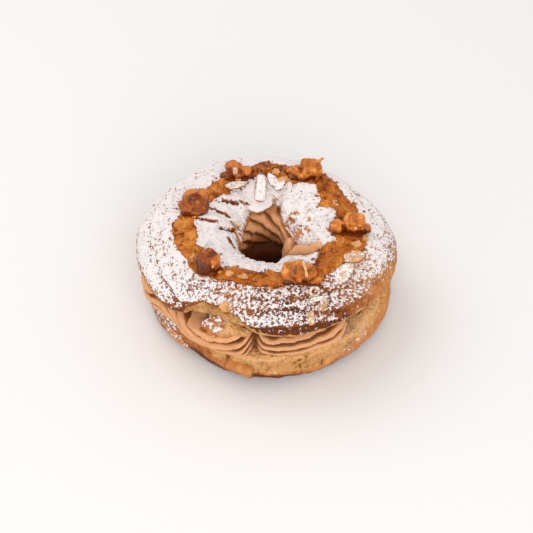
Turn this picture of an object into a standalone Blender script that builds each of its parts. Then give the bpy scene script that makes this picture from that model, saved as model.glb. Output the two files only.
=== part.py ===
"""A paris-brest: a ring of choux pastry cut in two, filled with piped praline cream and topped with a praline band
that carries six candied nuts.

The ring's axis is upright, the base stands on z = 0, and the side that shows the most filling faces -Y.
Azimuths are about that axis, in degrees from +X towards +Y, so the front is at -90 and the left at 180.
Sizes are in millimetres where a name ends in _MM, and in metres everywhere else. A table of stations gives pairs of
an azimuth and a size in millimetres, once round the ring.
"""

import math

import bmesh
import bpy
from mathutils import Matrix, Vector, noise
from mathutils.bvhtree import BVHTree

MM = 0.001
FULL_TURN = 2 * math.pi

# The ring is uneven, so its axis stands a little off the middle of its box, which is the origin.
AXIS_FROM_MIDDLE_MM = (0.6, 0.8)

# The circle that runs through the middle of all three layers, and the clearance between them.
MID_RADIUS_MM = 37.0
LAYER_GAP_MM = 0.5

# The base: how far its crust reaches, and how high its cut face lies.
BASE_REACH_MM = (
    (-163, 58.4), (-150, 58.0), (-138, 55.6), (-122, 54.2), (-100, 54.6), (-72, 55.2), (-46, 56.8),
    (-28, 58.8), (0, 59.4), (45, 56.0), (90, 55.4), (135, 56.4), (175, 58.6),
)
BASE_TOP_MM = (
    (-165, 19.0), (-135, 18.6), (-90, 18.8), (-60, 19.6), (-40, 21.4), (-25, 24.0), (0, 24.4), (30, 22.4),
    (90, 20.8), (150, 20.0),
)
BASE_HOLE_MM = 13.0
BASE_BELLY_MM = 11.0

# The piped cream: its outer and inner reach, and the ridges that its star nozzle left. A ridge climbs as the
# piping goes round, and RIDGE_CLIMB says by how many ridges.
CREAM_REACH_MM = (
    (-168, 60.8), (-158, 60.6), (-148, 57.8), (-140, 56.4), (-131, 58.2), (-118, 58.6), (-106, 57.0),
    (-97, 51.0), (-88, 54.6), (-72, 55.8), (-52, 55.2), (-38, 52.0), (-25, 53.5), (-5, 56.0),
    (18, 54.0), (40, 53.6), (66, 52.4), (90, 54.0), (112, 53.6), (136, 56.4), (160, 58.0),
)
CREAM_HOLE_MM = (
    (-150, 13.6), (-90, 15.0), (-40, 13.0), (-18, 10.2), (0, 9.6), (18, 10.4), (35, 12.6), (60, 14.4), (90, 15.6),
    (135, 14.4), (180, 12.8),
)
RIDGE_CLIMB = (
    (-168, 0.9), (-152, 1.5), (-144, 2.6), (-134, 1.3), (-122, 0.35), (-108, 0.0), (-97, 0.3), (-80, 0.7),
    (-55, 1.3), (-38, 1.9), (-15, 2.3), (20, 1.4), (55, 2.0), (90, 1.2), (125, 1.9), (160, 0.6),
)
OUTER_RIDGE_PITCH_MM = 5.4
OUTER_RIDGE_DEPTH_MM = 1.4
INNER_RIDGE_PITCH_MM = 8.9
INNER_RIDGE_DEPTH_MM = 1.6
INNER_RIDGES_ROUND = 14

# Cream that wells up in the hole and in the gap in the lid: azimuth, radius and height of its middle, and its half
# sizes along the radius, round the ring and upwards.
CREAM_TONGUES_MM = (
    (-2, 9.4, 32.0, (2.9, 5.6, 9.6)),
    (-31, 17.8, 39.0, (5.6, 3.8, 8.8)),
)

# The lid: its outer reach, its hole, its cut underside, its belly above that, and its crown, which leans to +X.
LID_REACH_MM = (
    (-168, 62.2), (-152, 61.4), (-141, 60.4), (-133, 58.0), (-124, 55.0), (-112, 54.4), (-102, 55.6), (-90, 57.8),
    (-75, 58.8), (-58, 58.6), (-44, 58.6), (-30, 59.8), (-15, 61.4), (2, 61.2), (15, 59.2), (30, 56.6),
    (45, 55.6), (65, 55.4), (90, 56.4), (115, 57.6), (132, 58.8), (150, 60.9), (175, 62.5),
)
LID_HOLE_MM = (
    (-152, 15.4), (-130, 16.6), (-110, 17.2), (-70, 17.4), (-56, 19.5), (-45, 23.5), (-30, 25.8), (-18, 20.5),
    (-6, 15.4), (14, 13.0), (34, 12.8), (54, 13.8), (68, 16.0), (78, 22.0), (85, 23.0), (96, 20.0), (115, 19.0),
    (138, 14.6), (160, 13.0), (180, 12.8),
)
LID_UNDERSIDE_MM = (
    (-168, 33.2), (-150, 32.6), (-138, 33.0), (-128, 35.0), (-112, 36.2), (-98, 35.6), (-80, 34.8), (-60, 34.0),
    (-45, 32.8), (-28, 31.0), (-10, 30.2), (15, 30.8), (45, 32.2), (90, 33.6), (135, 33.8), (175, 33.4),
)
LID_BELLY_ABOVE_MM = 5.0
LID_CROWN_MM = 50.6
LID_LEAN = 0.03
LID_UNEVENNESS_MM = 0.9

# A knob of torn choux that hangs at the front left, where the rim broke away.
KNOB_AZIMUTH = -117.0
KNOB_HALF_ANGLE = 8.0
KNOB_BULGE_MM = 3.4

# The praline band along the lid's crown.
PRALINE_RADIUS_MM = (
    (-168, 39.4), (-152, 40.6), (-137, 40.2), (-122, 38.2), (-108, 36.2), (-92, 35.2), (-78, 35.8), (-62, 35.2),
    (-45, 36.0), (-30, 38.2), (-12, 39.0), (8, 38.2), (28, 36.8), (45, 38.8), (64, 40.4), (84, 39.6),
    (105, 38.6), (122, 36.4), (140, 35.4), (158, 37.4), (178, 39.8),
)
PRALINE_WIDTH_MM = 8.6
PRALINE_HEIGHT_MM = 1.7
PRALINE_GAP_MM = 0.7

# The candied nuts: name, x and y of the middle, (length, width, height), azimuth of the length in degrees, and the
# seed of the lumps. Each nut sinks into the praline up to its waist.
NUTS_MM = (
    ("nut_left", (-35.1, 11.6), (13.4, 12.8, 10.2), 120, 3),
    ("nut_back_left", (-15.2, 35.2), (13.6, 10.4, 7.4), 200, 11),
    ("nut_back_right", (17.1, 36.6), (18.6, 12.6, 10.4), 170, 19),
    ("nut_right", (38.6, -0.8), (17.0, 14.2, 9.6), 20, 27),
    ("nut_front", (14.6, -32.6), (14.8, 13.0, 10.6), 30, 35),
    ("nut_front_left", (-27.2, -27.4), (13.0, 11.8, 9.6), 100, 43),
)
NUT_WAIST = 0.3
NUT_LUMPS = 0.24
NUT_GAP_MM = 0.9
NUT_FEELERS_MM = ((0, 0), (1, 0), (-1, 0), (0, 1), (0, -1))


def around(stations, azimuth):
    """The value at an azimuth on the smooth closed curve through the stations."""
    azimuth = (azimuth + 180) % 360 - 180
    passed = sum(1 for at, _ in stations if at <= azimuth)

    def station(index):
        turns, index = divmod(index, len(stations))
        at, value = stations[index]
        return at + 360 * turns, value

    (a0, v0), (a1, v1), (a2, v2), (a3, v3) = (station(passed + step) for step in (-2, -1, 0, 1))
    span = a2 - a1
    t = (azimuth - a1) / span
    leave, arrive = (v2 - v0) / (a2 - a0) * span, (v3 - v1) / (a3 - a1) * span
    return (
        v1 * (2 * t**3 - 3 * t**2 + 1)
        + v2 * (3 * t**2 - 2 * t**3)
        + leave * (t**3 - 2 * t**2 + t)
        + arrive * (t**3 - t**2)
    )


def section_point(turn, outer, hole, belly, top, bottom, top_power, bottom_power):
    """(radius, height) on a rounded section. turn runs from 0 at the outer belly over the top to the hole."""
    across, up = math.cos(turn), math.sin(turn)
    power = 2 / (top_power if up > 0 else bottom_power)
    side = outer - MID_RADIUS_MM if across > 0 else MID_RADIUS_MM - hole
    rise = top - belly if up > 0 else belly - bottom
    return (
        MID_RADIUS_MM + math.copysign(abs(across) ** power, across) * side,
        belly + math.copysign(abs(up) ** power, up) * rise,
    )


def polar(azimuth, radius, height):
    """A point in metres from an azimuth in degrees and two sizes in millimetres."""
    angle = math.radians(azimuth)
    return Vector((radius * math.cos(angle), radius * math.sin(angle), height)) * MM


def unevenness(azimuth, turn, scale, seed):
    """Smooth noise between about -1 and 1 that closes on itself round the ring and round its section."""
    angle = math.radians(azimuth)
    ring = 2.2 + 0.6 * math.cos(turn)
    place = Vector((ring * math.cos(angle), ring * math.sin(angle), 0.6 * math.sin(turn)))
    return noise.noise(place * scale + Vector((seed, 0, 0)))


def base_point(azimuth, turn):
    """The base: a flat foot, a rounded crust and a level cut face."""
    outer = around(BASE_REACH_MM, azimuth) + 0.8 * unevenness(azimuth, turn, 3, 5)
    top = around(BASE_TOP_MM, azimuth)
    radius, height = section_point(turn, outer, BASE_HOLE_MM, BASE_BELLY_MM, top + 1.2, -3.0, 4.5, 2.2)
    return polar(azimuth, radius, min(max(height, 0.0), top))


def ridge_profile(phase):
    """A star nozzle's ridge, from -1 in the groove to 1 on the crest: a broad rib with a narrow groove."""
    return 2 * abs(math.sin(math.pi * phase)) ** 0.7 - 1


def cream_point(azimuth, turn):
    """The filling: a fat piped rope between the two halves, its ridges climbing as they go round."""
    outer, hole = around(CREAM_REACH_MM, azimuth), around(CREAM_HOLE_MM, azimuth)
    bottom = around(BASE_TOP_MM, azimuth) + LAYER_GAP_MM
    top = around(LID_UNDERSIDE_MM, azimuth) - LAYER_GAP_MM
    middle = (bottom + top) / 2
    radius, height = section_point(turn, outer, hole, middle, top + 1.5, bottom - 1.5, 3, 3)
    if radius > MID_RADIUS_MM:
        phase = height / OUTER_RIDGE_PITCH_MM - around(RIDGE_CLIMB, azimuth)
        radius += OUTER_RIDGE_DEPTH_MM * ridge_profile(phase) * abs(math.cos(turn))
    else:
        phase = height / INNER_RIDGE_PITCH_MM - INNER_RIDGES_ROUND * azimuth / 360
        radius -= INNER_RIDGE_DEPTH_MM * ridge_profile(phase) * abs(math.cos(turn))
    return polar(azimuth, radius, min(max(height, bottom), top))


def lid_point(azimuth, turn):
    """The lid: a domed crust, a cut underside and a torn knob at the front left."""
    outer, hole = around(LID_REACH_MM, azimuth), around(LID_HOLE_MM, azimuth)
    underside = around(LID_UNDERSIDE_MM, azimuth)
    across = MID_RADIUS_MM * math.cos(math.radians(azimuth))
    crown = LID_CROWN_MM - LID_LEAN * across
    radius, height = section_point(
        turn, outer, hole, underside + LID_BELLY_ABOVE_MM, crown, underside, 2.1, 4.5
    )
    upper = max(0.0, math.sin(turn))
    height += LID_UNEVENNESS_MM * unevenness(azimuth, turn, 2.6, 17) * upper
    radius += LID_UNEVENNESS_MM * unevenness(azimuth, turn, 2.6, 23) * upper * math.cos(turn)
    away = (azimuth - KNOB_AZIMUTH) / KNOB_HALF_ANGLE
    radius += KNOB_BULGE_MM * math.exp(-away * away) * max(0.0, math.cos(turn + 0.3)) ** 4
    return polar(azimuth, radius, height)


def ring_mesh(columns, rows, point):
    """A closed ring: a circle spun round Z, then every vertex moved to point(azimuth, turn)."""
    ring_radius = 3.0
    bm = bmesh.new()
    stand = Matrix.Translation((ring_radius, 0, 0)) @ Matrix.Rotation(math.pi / 2, 4, "X")
    bmesh.ops.create_circle(bm, segments=rows, radius=1, matrix=stand)
    bmesh.ops.spin(
        bm, geom=bm.verts[:] + bm.edges[:], axis=(0, 0, 1), angle=FULL_TURN, steps=columns, use_merge=True
    )
    for vert in bm.verts:
        azimuth = math.degrees(math.atan2(vert.co.y, vert.co.x))
        turn = math.atan2(vert.co.z, vert.co.xy.length - ring_radius)
        vert.co = point(azimuth, turn)
    bmesh.ops.recalc_face_normals(bm, faces=bm.faces)
    return bm


def make_material(name, colour, roughness):
    material = bpy.data.materials.new(name)
    material.use_nodes = True
    shader = material.node_tree.nodes["Principled BSDF"]
    shader.inputs["Base Color"].default_value = (*colour, 1)
    shader.inputs["Roughness"].default_value = roughness
    shader.inputs["Metallic"].default_value = 0
    return material


def make_object(name, bm, material):
    mesh = bpy.data.meshes.new(name)
    bm.to_mesh(mesh)
    bm.free()
    mesh.materials.append(material)
    mesh.shade_smooth()
    mesh.set_sharp_from_angle(angle=math.radians(50))
    obj = bpy.data.objects.new(name, mesh)
    bpy.context.scene.collection.objects.link(obj)
    return obj


def make_cream(material):
    """The piped rope, with the two tongues of cream joined on by Booleans."""
    cream = make_object("praline_cream", ring_mesh(72, 24, cream_point), material)
    for number, (azimuth, radius, height, halves) in enumerate(CREAM_TONGUES_MM, 1):
        place = (
            Matrix.Translation(polar(azimuth, radius, height))
            @ Matrix.Rotation(math.radians(azimuth), 4, "Z")
            @ Matrix.Diagonal((*(half * MM for half in halves), 1))
        )
        bm = bmesh.new()
        bmesh.ops.create_uvsphere(bm, u_segments=12, v_segments=8, radius=1, matrix=place)
        tongue = make_object(f"cream_tongue_{number}", bm, material)
        tongue.hide_render = True
        tongue.display_type = "WIRE"
        union = cream.modifiers.new(tongue.name, "BOOLEAN")
        union.operation = "UNION"
        union.object = tongue


def surface_finder(*objects):
    """A function that gives the height of the topmost of these objects over a point, in metres."""
    trees = []
    for obj in objects:
        bm = bmesh.new()
        bm.from_mesh(obj.data)
        trees.append(BVHTree.FromBMesh(bm))
        bm.free()

    def height_over(x, y):
        hits = [tree.ray_cast(Vector((x, y, 1)), Vector((0, 0, -1)))[0] for tree in trees]
        return max((hit.z for hit in hits if hit), default=0.0)

    return height_over


def praline_point(height_over):
    """The praline band: a low uneven mound that lies on the lid."""

    def point(azimuth, turn):
        along = math.radians(azimuth)
        swell = 1 + 0.35 * noise.noise(Vector((3 * math.cos(along), 3 * math.sin(along), 31)))
        radius = around(PRALINE_RADIUS_MM, azimuth) + PRALINE_WIDTH_MM / 2 * swell * math.cos(turn)
        place = polar(azimuth, radius, 0)
        thickness = PRALINE_HEIGHT_MM * max(0.0, math.sin(turn))
        place.z = height_over(place.x, place.y) + (PRALINE_GAP_MM + thickness) * MM
        return place

    return point


def make_nut(spec, lid_height, top_height, material):
    """A candied nut: a lumpy ball whose underside takes the shape of the lid and the praline under it."""
    name, (x, y), size, length_azimuth, seed = spec
    middle = Vector((x, y, 0)) * MM
    middle.z = lid_height(middle.x, middle.y) + NUT_WAIST * size[2] * MM
    turn = Matrix.Rotation(math.radians(length_azimuth), 3, "Z")
    bm = bmesh.new()
    bmesh.ops.create_icosphere(bm, subdivisions=3, radius=1)
    for vert in bm.verts:
        swell = 1 + NUT_LUMPS * noise.noise(vert.co * 1.7 + Vector((seed, 0, 0)))
        own = Vector(side / 2 * MM * along * swell for side, along in zip(size, vert.co))
        vert.co = middle + turn @ own
        under = max(top_height(vert.co.x + dx * MM, vert.co.y + dy * MM) for dx, dy in NUT_FEELERS_MM)
        vert.co.z = max(vert.co.z, under + NUT_GAP_MM * MM)
    make_object(name, bm, material)


def main():
    for obj in list(bpy.data.objects):
        bpy.data.objects.remove(obj)
    crumb = make_material("base_choux", (0.62, 0.38, 0.16), 0.8)
    crust = make_material("lid_choux", (0.42, 0.19, 0.06), 0.7)
    cream = make_material("praline_cream", (0.62, 0.36, 0.18), 0.55)
    praline = make_material("praline", (0.45, 0.17, 0.03), 0.35)
    candied = make_material("candied_nut", (0.42, 0.14, 0.03), 0.25)
    make_object("choux_base", ring_mesh(60, 12, base_point), crumb)
    make_cream(cream)
    lid = make_object("choux_lid", ring_mesh(72, 14, lid_point), crust)
    lid_height = surface_finder(lid)
    band = make_object("praline_band", ring_mesh(72, 6, praline_point(lid_height)), praline)
    top_height = surface_finder(lid, band)
    for spec in NUTS_MM:
        make_nut(spec, lid_height, top_height, candied)
    for obj in bpy.data.objects:
        obj.location = Vector((*AXIS_FROM_MIDDLE_MM, 0)) * MM


main()
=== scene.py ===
"""The looks of a paris-brest: a choux ring cut in two, filled with piped praline cream, dusted with icing
sugar and finished with a praline band, candied nuts and flaked almonds.

Azimuths are about the ring's axis, in degrees from +X towards +Y, so the front is at -90 and the left at 180.
Heights, radii, reaches, arcs and the sizes of lumps, flakes and nuts are in millimetres. A place that a
function takes or gives back is in metres, and so are the lights and the camera. A table of stations gives
pairs of an azimuth and a value, once round the ring. A turn runs round the ring's section, in radians: 0 is
the outer belly, a quarter turn the top and a half turn the hole. An arc is measured over the lid from its
outer rim. A noise's seed only picks its pattern.
"""

import bisect
import functools
import math
import random

import bmesh
import bpy
from mathutils import Matrix, Quaternion, Vector, noise
from mathutils.bvhtree import BVHTree


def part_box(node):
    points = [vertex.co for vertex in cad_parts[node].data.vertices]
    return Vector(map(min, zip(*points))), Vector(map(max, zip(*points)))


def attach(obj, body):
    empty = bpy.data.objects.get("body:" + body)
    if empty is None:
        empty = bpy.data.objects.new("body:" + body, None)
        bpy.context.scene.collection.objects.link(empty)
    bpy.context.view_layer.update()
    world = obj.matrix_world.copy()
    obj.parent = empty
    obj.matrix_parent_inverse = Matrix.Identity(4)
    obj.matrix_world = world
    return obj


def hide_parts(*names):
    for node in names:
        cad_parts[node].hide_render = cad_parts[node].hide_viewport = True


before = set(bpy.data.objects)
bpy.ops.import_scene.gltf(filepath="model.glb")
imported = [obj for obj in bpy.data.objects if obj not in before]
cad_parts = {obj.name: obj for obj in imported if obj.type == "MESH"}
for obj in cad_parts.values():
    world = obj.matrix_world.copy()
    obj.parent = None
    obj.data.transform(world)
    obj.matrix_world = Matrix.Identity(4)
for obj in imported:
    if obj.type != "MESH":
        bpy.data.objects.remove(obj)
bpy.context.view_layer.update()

MM = 0.001
FULL_TURN = 2 * math.pi
UP = Vector((0, 0, 1))

# The ring's axis stands a little off the middle of its box.
AXIS = Vector((0.6, 0.8, 0)) * MM

# The circle that runs through the middle of all three layers, and the clearance between them.
MID_RADIUS_MM = 37.0
LAYER_GAP_MM = 0.5

# The base: how far its crust reaches, and how high its cut face lies.
BASE_REACH_MM = (
    (-163, 57.4), (-150, 56.2), (-138, 53.8), (-128, 53.2), (-118, 54.2), (-108, 55.2), (-95, 55.8),
    (-72, 56.2), (-46, 56.8), (-28, 58.8), (0, 59.4), (45, 56.0), (90, 55.4), (135, 56.4), (175, 58.6),
)
BASE_TOP_MM = (
    (-165, 19.0), (-135, 18.6), (-90, 18.8), (-60, 19.0), (-49, 18.4), (-41, 18.2), (-33, 19.6),
    (-25, 21.8), (-12, 24.0), (2, 24.4), (30, 22.4), (90, 20.8), (150, 20.0),
)
BASE_HOLE_MM = 13.0
BASE_BELLY_MM = 11.0
BASE_COLUMNS = 576
BASE_ROWS = 112
# The section's curve runs on under the foot and over the cut face, which cut it off level.
BASE_BOTTOM_MM = -3.0
BASE_ROUNDING = {"top_power": 4.5, "bottom_power": 2.2}
# How high the crust climbs on the base's flank before the cut crumb begins.
BASE_CRUST_MM = (
    (-170, 21.0), (-150, 19.5), (-138, 18.0), (-126, 16.0), (-116, 12.0), (-108, 8.8), (-90, 8.4),
    (-65, 7.9), (-52, 9.0), (-40, 12.0), (-30, 17.0), (-15, 20.0), (0, 23.0), (60, 22.0), (120, 21.0),
    (150, 21.0),
)

# The piped cream: its outer and inner reach, and the ridges that its star nozzle left. A ridge climbs as
# the piping goes round, and RIDGE_CLIMB says by how many ridges.
CREAM_REACH_MM = (
    (-168, 60.8), (-158, 60.6), (-148, 57.8), (-140, 56.4), (-131, 58.2), (-118, 58.6), (-107, 57.4),
    (-101, 56.6), (-97, 51.0), (-93, 54.0), (-84, 55.6), (-72, 56.0), (-54, 55.6), (-47, 52.0), (-41, 46.5),
    (-33, 46.0), (-22, 51.0), (-5, 56.0), (18, 54.0), (40, 53.6), (66, 52.4), (90, 54.0), (112, 53.6),
    (136, 56.4), (160, 58.0),
)
CREAM_HOLE_MM = (
    (-150, 13.6), (-90, 15.0), (-40, 13.0), (-18, 10.2), (0, 9.6), (18, 10.4), (35, 12.6), (60, 14.4),
    (90, 15.6), (135, 14.4), (180, 12.8),
)
RIDGE_CLIMB = (
    (-172, 1.5), (-160, 2.0), (-150, 2.6), (-140, 1.6), (-128, 0.5), (-118, 0.15), (-108, 0.55),
    (-101, 1.5), (-96, 2.2), (-92, 1.5), (-80, 1.55), (-65, 1.8), (-50, 2.2), (-38, 2.6), (-15, 2.3),
    (20, 1.4), (55, 2.0), (90, 1.2), (125, 1.9), (160, 1.2),
)
CREAM_ROUNDING = {"top_power": 3, "bottom_power": 3}
CREAM_COLUMNS = 640
CREAM_ROWS = 140
OUTER_RIDGE_PITCH_MM = 4.6
OUTER_RIDGE_DEPTH_MM = (
    (-170, 1.0), (-150, 1.4), (-135, 1.5), (-120, 1.7), (-105, 2.4), (-97, 1.9), (-88, 1.7), (-70, 2.1),
    (-50, 2.1), (-30, 1.5), (30, 1.4), (100, 1.5), (150, 1.2),
)
INNER_RIDGE_PITCH_MM = 6.4
INNER_RIDGE_DEPTH_MM = 1.6
INNER_RIDGES_ROUND = 12
# How far the cream's top lies under the lid outside, where the lid's rim broke away.
CREAM_DROPS_MM = (
    (-137, 0.0), (-132, 2.2), (-126, 3.4), (-120, 2.4), (-115, 0.4), (-108, 0.0), (0, 0.0), (120, 0.0),
)
# The share of a fold above which it lies in the shade of the next one up.
FOLD_SHADE = (
    (-175, 0.62), (-150, 0.60), (-135, 0.62), (-120, 0.60), (-108, 0.54), (-97, 0.46), (-85, 0.46),
    (-60, 0.46), (-40, 0.50), (0, 0.6), (60, 0.58), (120, 0.58),
)
# How far above its usual top the cream wells up in the hole, where it hides the lid's inner wall.
CREAM_WELLS_UP_MM = (
    (-170, 0.0), (-60, 0.0), (-20, 1.0), (10, 2.0), (40, 5.5), (60, 8.5), (90, 9.5), (115, 8.5), (135, 4.0),
    (160, 0.5),
)

# The lid: its outer reach, its hole, its cut underside, its belly above that, and its crown, which leans to
# +X.
LID_REACH_MM = (
    (-168, 62.2), (-152, 61.4), (-141, 60.4), (-133, 58.0), (-124, 55.0), (-112, 54.4), (-102, 55.6),
    (-90, 57.8), (-75, 58.8), (-58, 58.6), (-44, 58.6), (-30, 59.8), (-15, 61.4), (2, 61.2), (15, 59.2),
    (30, 56.6), (45, 55.6), (65, 55.4), (90, 56.4), (115, 57.6), (132, 58.8), (150, 60.9), (175, 62.5),
)
LID_HOLE_MM = (
    (-152, 15.4), (-130, 16.6), (-110, 17.2), (-70, 17.4), (-56, 19.5), (-45, 23.5), (-30, 25.8),
    (-18, 20.5), (-6, 15.4), (14, 13.0), (34, 12.8), (54, 13.8), (68, 16.0), (78, 22.0), (85, 23.0),
    (96, 20.0), (115, 19.0), (138, 14.6), (160, 13.0), (180, 12.8),
)
LID_UNDERSIDE_MM = (
    (-168, 33.2), (-150, 32.6), (-138, 33.0), (-128, 35.0), (-112, 36.2), (-98, 35.6), (-80, 34.8),
    (-60, 34.0), (-45, 32.8), (-28, 31.0), (-10, 30.2), (15, 30.8), (45, 32.2), (90, 33.6), (135, 33.8),
    (175, 33.4),
)
LID_ROUNDING = {"top_power": 2.1, "bottom_power": 4.5}
LID_COLUMNS = 640
LID_ROWS = 144
LID_BELLY_ABOVE_MM = 5.0
LID_CROWN_MM = 50.6
LID_LEAN = 0.03
LID_UNEVENNESS_MM = 0.9
# A typical section of the lid, which sets where its rows of faces lie and what an arc measures.
LID_TYPICAL_MM = {"outer": 58.5, "hole": 17.0, "belly": 38.5, "top": 50.6, "bottom": 33.5}
LID_RIM_TURN = math.radians(-60)

# The shelves that the piping nozzle left round the lid's flank: the arc of each shelf's edge and how far it
# stands proud.
LID_SHELVES = (
    (
        ((-170, 8.6), (-148, 9.0), (-136, 8.0), (-98, 10.0), (-87, 12.0), (-75, 12.2), (-61, 9.8), (-50, 8.4),
         (-30, 7.5), (0, 8.0), (60, 9.0), (120, 9.0), (160, 8.6)),
        ((-170, 0.8), (-140, 0.9), (-130, 0.2), (-105, 0.1), (-97, 0.8), (-75, 0.9), (-55, 0.8), (-40, 0.4),
         (0, 0.35), (60, 0.6), (130, 0.7)),
    ),
    (
        ((-168, 19.5), (-156, 19.0), (-141, 16.0), (-132, 12.5), (-120, 16.0), (-100, 19.0), (-89, 21.5),
         (-77, 22.0), (-66, 17.5), (-58, 15.2), (-50, 13.2), (-40, 13.0), (-30, 16.0), (-10, 17.0),
         (30, 17.0), (80, 18.0), (140, 19.0)),
        ((-168, 0.8), (-140, 1.1), (-130, 0.8), (-118, 0.2), (-95, 0.55), (-78, 0.55), (-66, 0.4), (-55, 0.9),
         (-44, 0.3), (-20, 0.5), (20, 0.6), (100, 0.6)),
    ),
    (
        ((-170, 25.0), (-140, 24.0), (-110, 24.0), (-90, 27.5), (-60, 26.0), (-36, 19.5), (-26, 14.5),
         (-15, 16.0), (20, 24.0), (90, 25.0), (150, 26.0)),
        ((-170, 0.5), (-140, 0.55), (-100, 0.35), (-60, 0.4), (-42, 0.3), (-31, 1.0), (-22, 0.4), (20, 0.4),
         (90, 0.4)),
    ),
)
SHELF_EDGE_MM = 0.45
SHELF_FADE_MM = 3.2

# The arc up to which the lid's rim shows crumb. It broke away between azimuths -132 and -98.
LID_TORN_ARC_MM = (
    (-170, 5.6), (-150, 5.8), (-138, 5.4), (-133.5, 6.5), (-131, 9.5), (-127, 12.8), (-121, 14.8),
    (-115, 15.0), (-109, 13.8), (-104, 11.6), (-99, 9.2), (-95, 7.8), (-89, 7.2), (-75, 7.2), (-60, 6.6),
    (-47, 6.6), (-36, 7.5), (-20, 6.5), (10, 5.0), (60, 4.5), (120, 4.5), (160, 5.0),
)
LID_TORN_DEPTH_MM = 1.5

# The slits between sugared flakes inside the praline band: lines from one (azimuth, radius) to another.
LID_SLITS = (
    ((159, 31.5), (158, 26.0)), ((158, 26.0), (154.5, 20.0)), ((173, 37.0), (174, 30.5)),
    ((174, 30.5), (174.5, 24.0)), ((-179.5, 22.4), (177, 15.8)), ((-166, 19.2), (-152, 17.4)),
    ((126, 22.8), (117, 20.4)), ((143, 27.5), (131, 22.6)),
)
# Streaks there that the sugar missed.
LID_STREAKS = (
    ((40, 15.6), (52, 16.6)), ((52, 16.6), (49, 18.6)), ((49, 18.6), (40, 19.2)), ((31, 14.8), (20, 16.2)),
    ((20, 16.2), (7, 16.4)), ((24, 14.6), (10, 14.8)), ((14, 18.6), (8, 19.6)), ((22, 21.0), (20, 21.6)),
)

# How much of the lid the sugar covers outside the praline band, and how dark the crust under it is baked.
SUGAR_OUTSIDE = (
    (-175, 0.90), (-155, 0.88), (-140, 0.78), (-125, 0.62), (-100, 0.60), (-75, 0.58), (-55, 0.54),
    (-35, 0.60), (-15, 0.74), (10, 0.86), (45, 0.96), (90, 1.1), (150, 1.06), (178, 0.92),
)
BAKE_OUTSIDE = (
    (-170, 0.50), (-150, 0.50), (-135, 0.72), (-110, 0.55), (-95, 0.80), (-60, 0.82), (-48, 0.62),
    (-36, 0.42), (-15, 0.36), (20, 0.5), (90, 0.6), (150, 0.5),
)

# The praline band's outline, and the depth of its ragged edges.
BAND_OUTER_MM = (
    (-170, 45.2), (-160, 44.8), (-149, 44.6), (-138, 44.8), (-127, 42.8), (-112, 40.4), (-100, 39.2),
    (-87, 39.6), (-79, 39.0), (-68, 41.0), (-56, 41.9), (-45, 40.8), (-34, 42.4), (-26, 46.8), (-13, 47.2),
    (3, 44.4), (16, 43.8), (29, 43.8), (41, 44.2), (49, 44.8), (64, 43.6), (80, 42.8), (91, 44.6),
    (98, 41.6), (109, 40.2), (121, 39.4), (130, 38.8), (141, 38.0), (160, 41.2), (177, 43.9),
)
BAND_INNER_MM = (
    (-172, 33.8), (-166, 34.0), (-158, 36.4), (-152, 34.2), (-140, 30.6), (-131, 34.0), (-125, 34.6),
    (-119, 31.4), (-106, 30.2), (-92, 29.2), (-77, 29.4), (-62, 30.6), (-47, 31.8), (-37, 28.6),
    (-22, 26.6), (-15, 33.6), (-7, 29.2), (0, 29.0), (7, 31.6), (20, 34.0), (26, 31.4), (31, 28.8),
    (36, 31.8), (44, 33.4), (52, 36.4), (62, 34.0), (74, 31.8), (90, 34.0), (104, 32.8), (113, 30.6),
    (122, 30.2), (134, 29.2), (146, 30.2), (156, 31.2), (166, 31.8), (178, 35.4),
)
BAND_COLUMNS = 720
BAND_ROWS = 48
BAND_RAGGED_MM = 1.5
BAND_HEIGHT_MM = 1.1
BAND_SUNK_MM = 0.35


# ---- Curves, noise and places ----

@functools.lru_cache(maxsize=None)
def around(stations, azimuth):
    """The value at an azimuth on the smooth closed curve through the stations."""
    azimuth = (azimuth + 180) % 360 - 180
    passed = sum(1 for at, _ in stations if at <= azimuth)

    def station(index):
        turns, index = divmod(index, len(stations))
        at, value = stations[index]
        return at + 360 * turns, value

    (a0, v0), (a1, v1), (a2, v2), (a3, v3) = (station(passed + step) for step in (-2, -1, 0, 1))
    span = a2 - a1
    t = (azimuth - a1) / span
    leave, arrive = (v2 - v0) / (a2 - a0) * span, (v3 - v1) / (a3 - a1) * span
    return (
        v1 * (2 * t**3 - 3 * t**2 + 1)
        + v2 * (3 * t**2 - 2 * t**3)
        + leave * (t**3 - 2 * t**2 + t)
        + arrive * (t**3 - t**2)
    )


def section_point(turn, outer, hole, belly, top, bottom, top_power, bottom_power):
    """(radius, height) on a rounded section."""
    across, up = math.cos(turn), math.sin(turn)
    power = 2 / (top_power if up > 0 else bottom_power)
    side = outer - MID_RADIUS_MM if across > 0 else MID_RADIUS_MM - hole
    rise = top - belly if up > 0 else belly - bottom
    return (
        MID_RADIUS_MM + math.copysign(abs(across) ** power, across) * side,
        belly + math.copysign(abs(up) ** power, up) * rise,
    )


def polar(azimuth, radius, height):
    """A point in metres from an azimuth in degrees and two sizes in millimetres."""
    angle = math.radians(azimuth)
    return AXIS + Vector((radius * math.cos(angle), radius * math.sin(angle), height)) * MM


def unevenness(azimuth, turn, scale, seed):
    """The slow noise that the CAD solids carry round the ring."""
    angle = math.radians(azimuth)
    ring = 2.2 + 0.6 * math.cos(turn)
    place = Vector((ring * math.cos(angle), ring * math.sin(angle), 0.6 * math.sin(turn)))
    return noise.noise(place * scale + Vector((seed, 0, 0)))


def lumps(place, size, seed=0):
    """Smooth noise between about -1 and 1, with lumps of a size in millimetres."""
    return noise.noise(place * (1 / (size * MM)) + Vector((seed, 0.37 * seed, 0)))


def nudge(place):
    """A push about as long as 1 in a direction that wanders with the place."""
    return Vector([noise.noise(place + Vector((11.7 * axis, 3.1, 7.9 * axis))) for axis in (1, 2, 3)])


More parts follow.
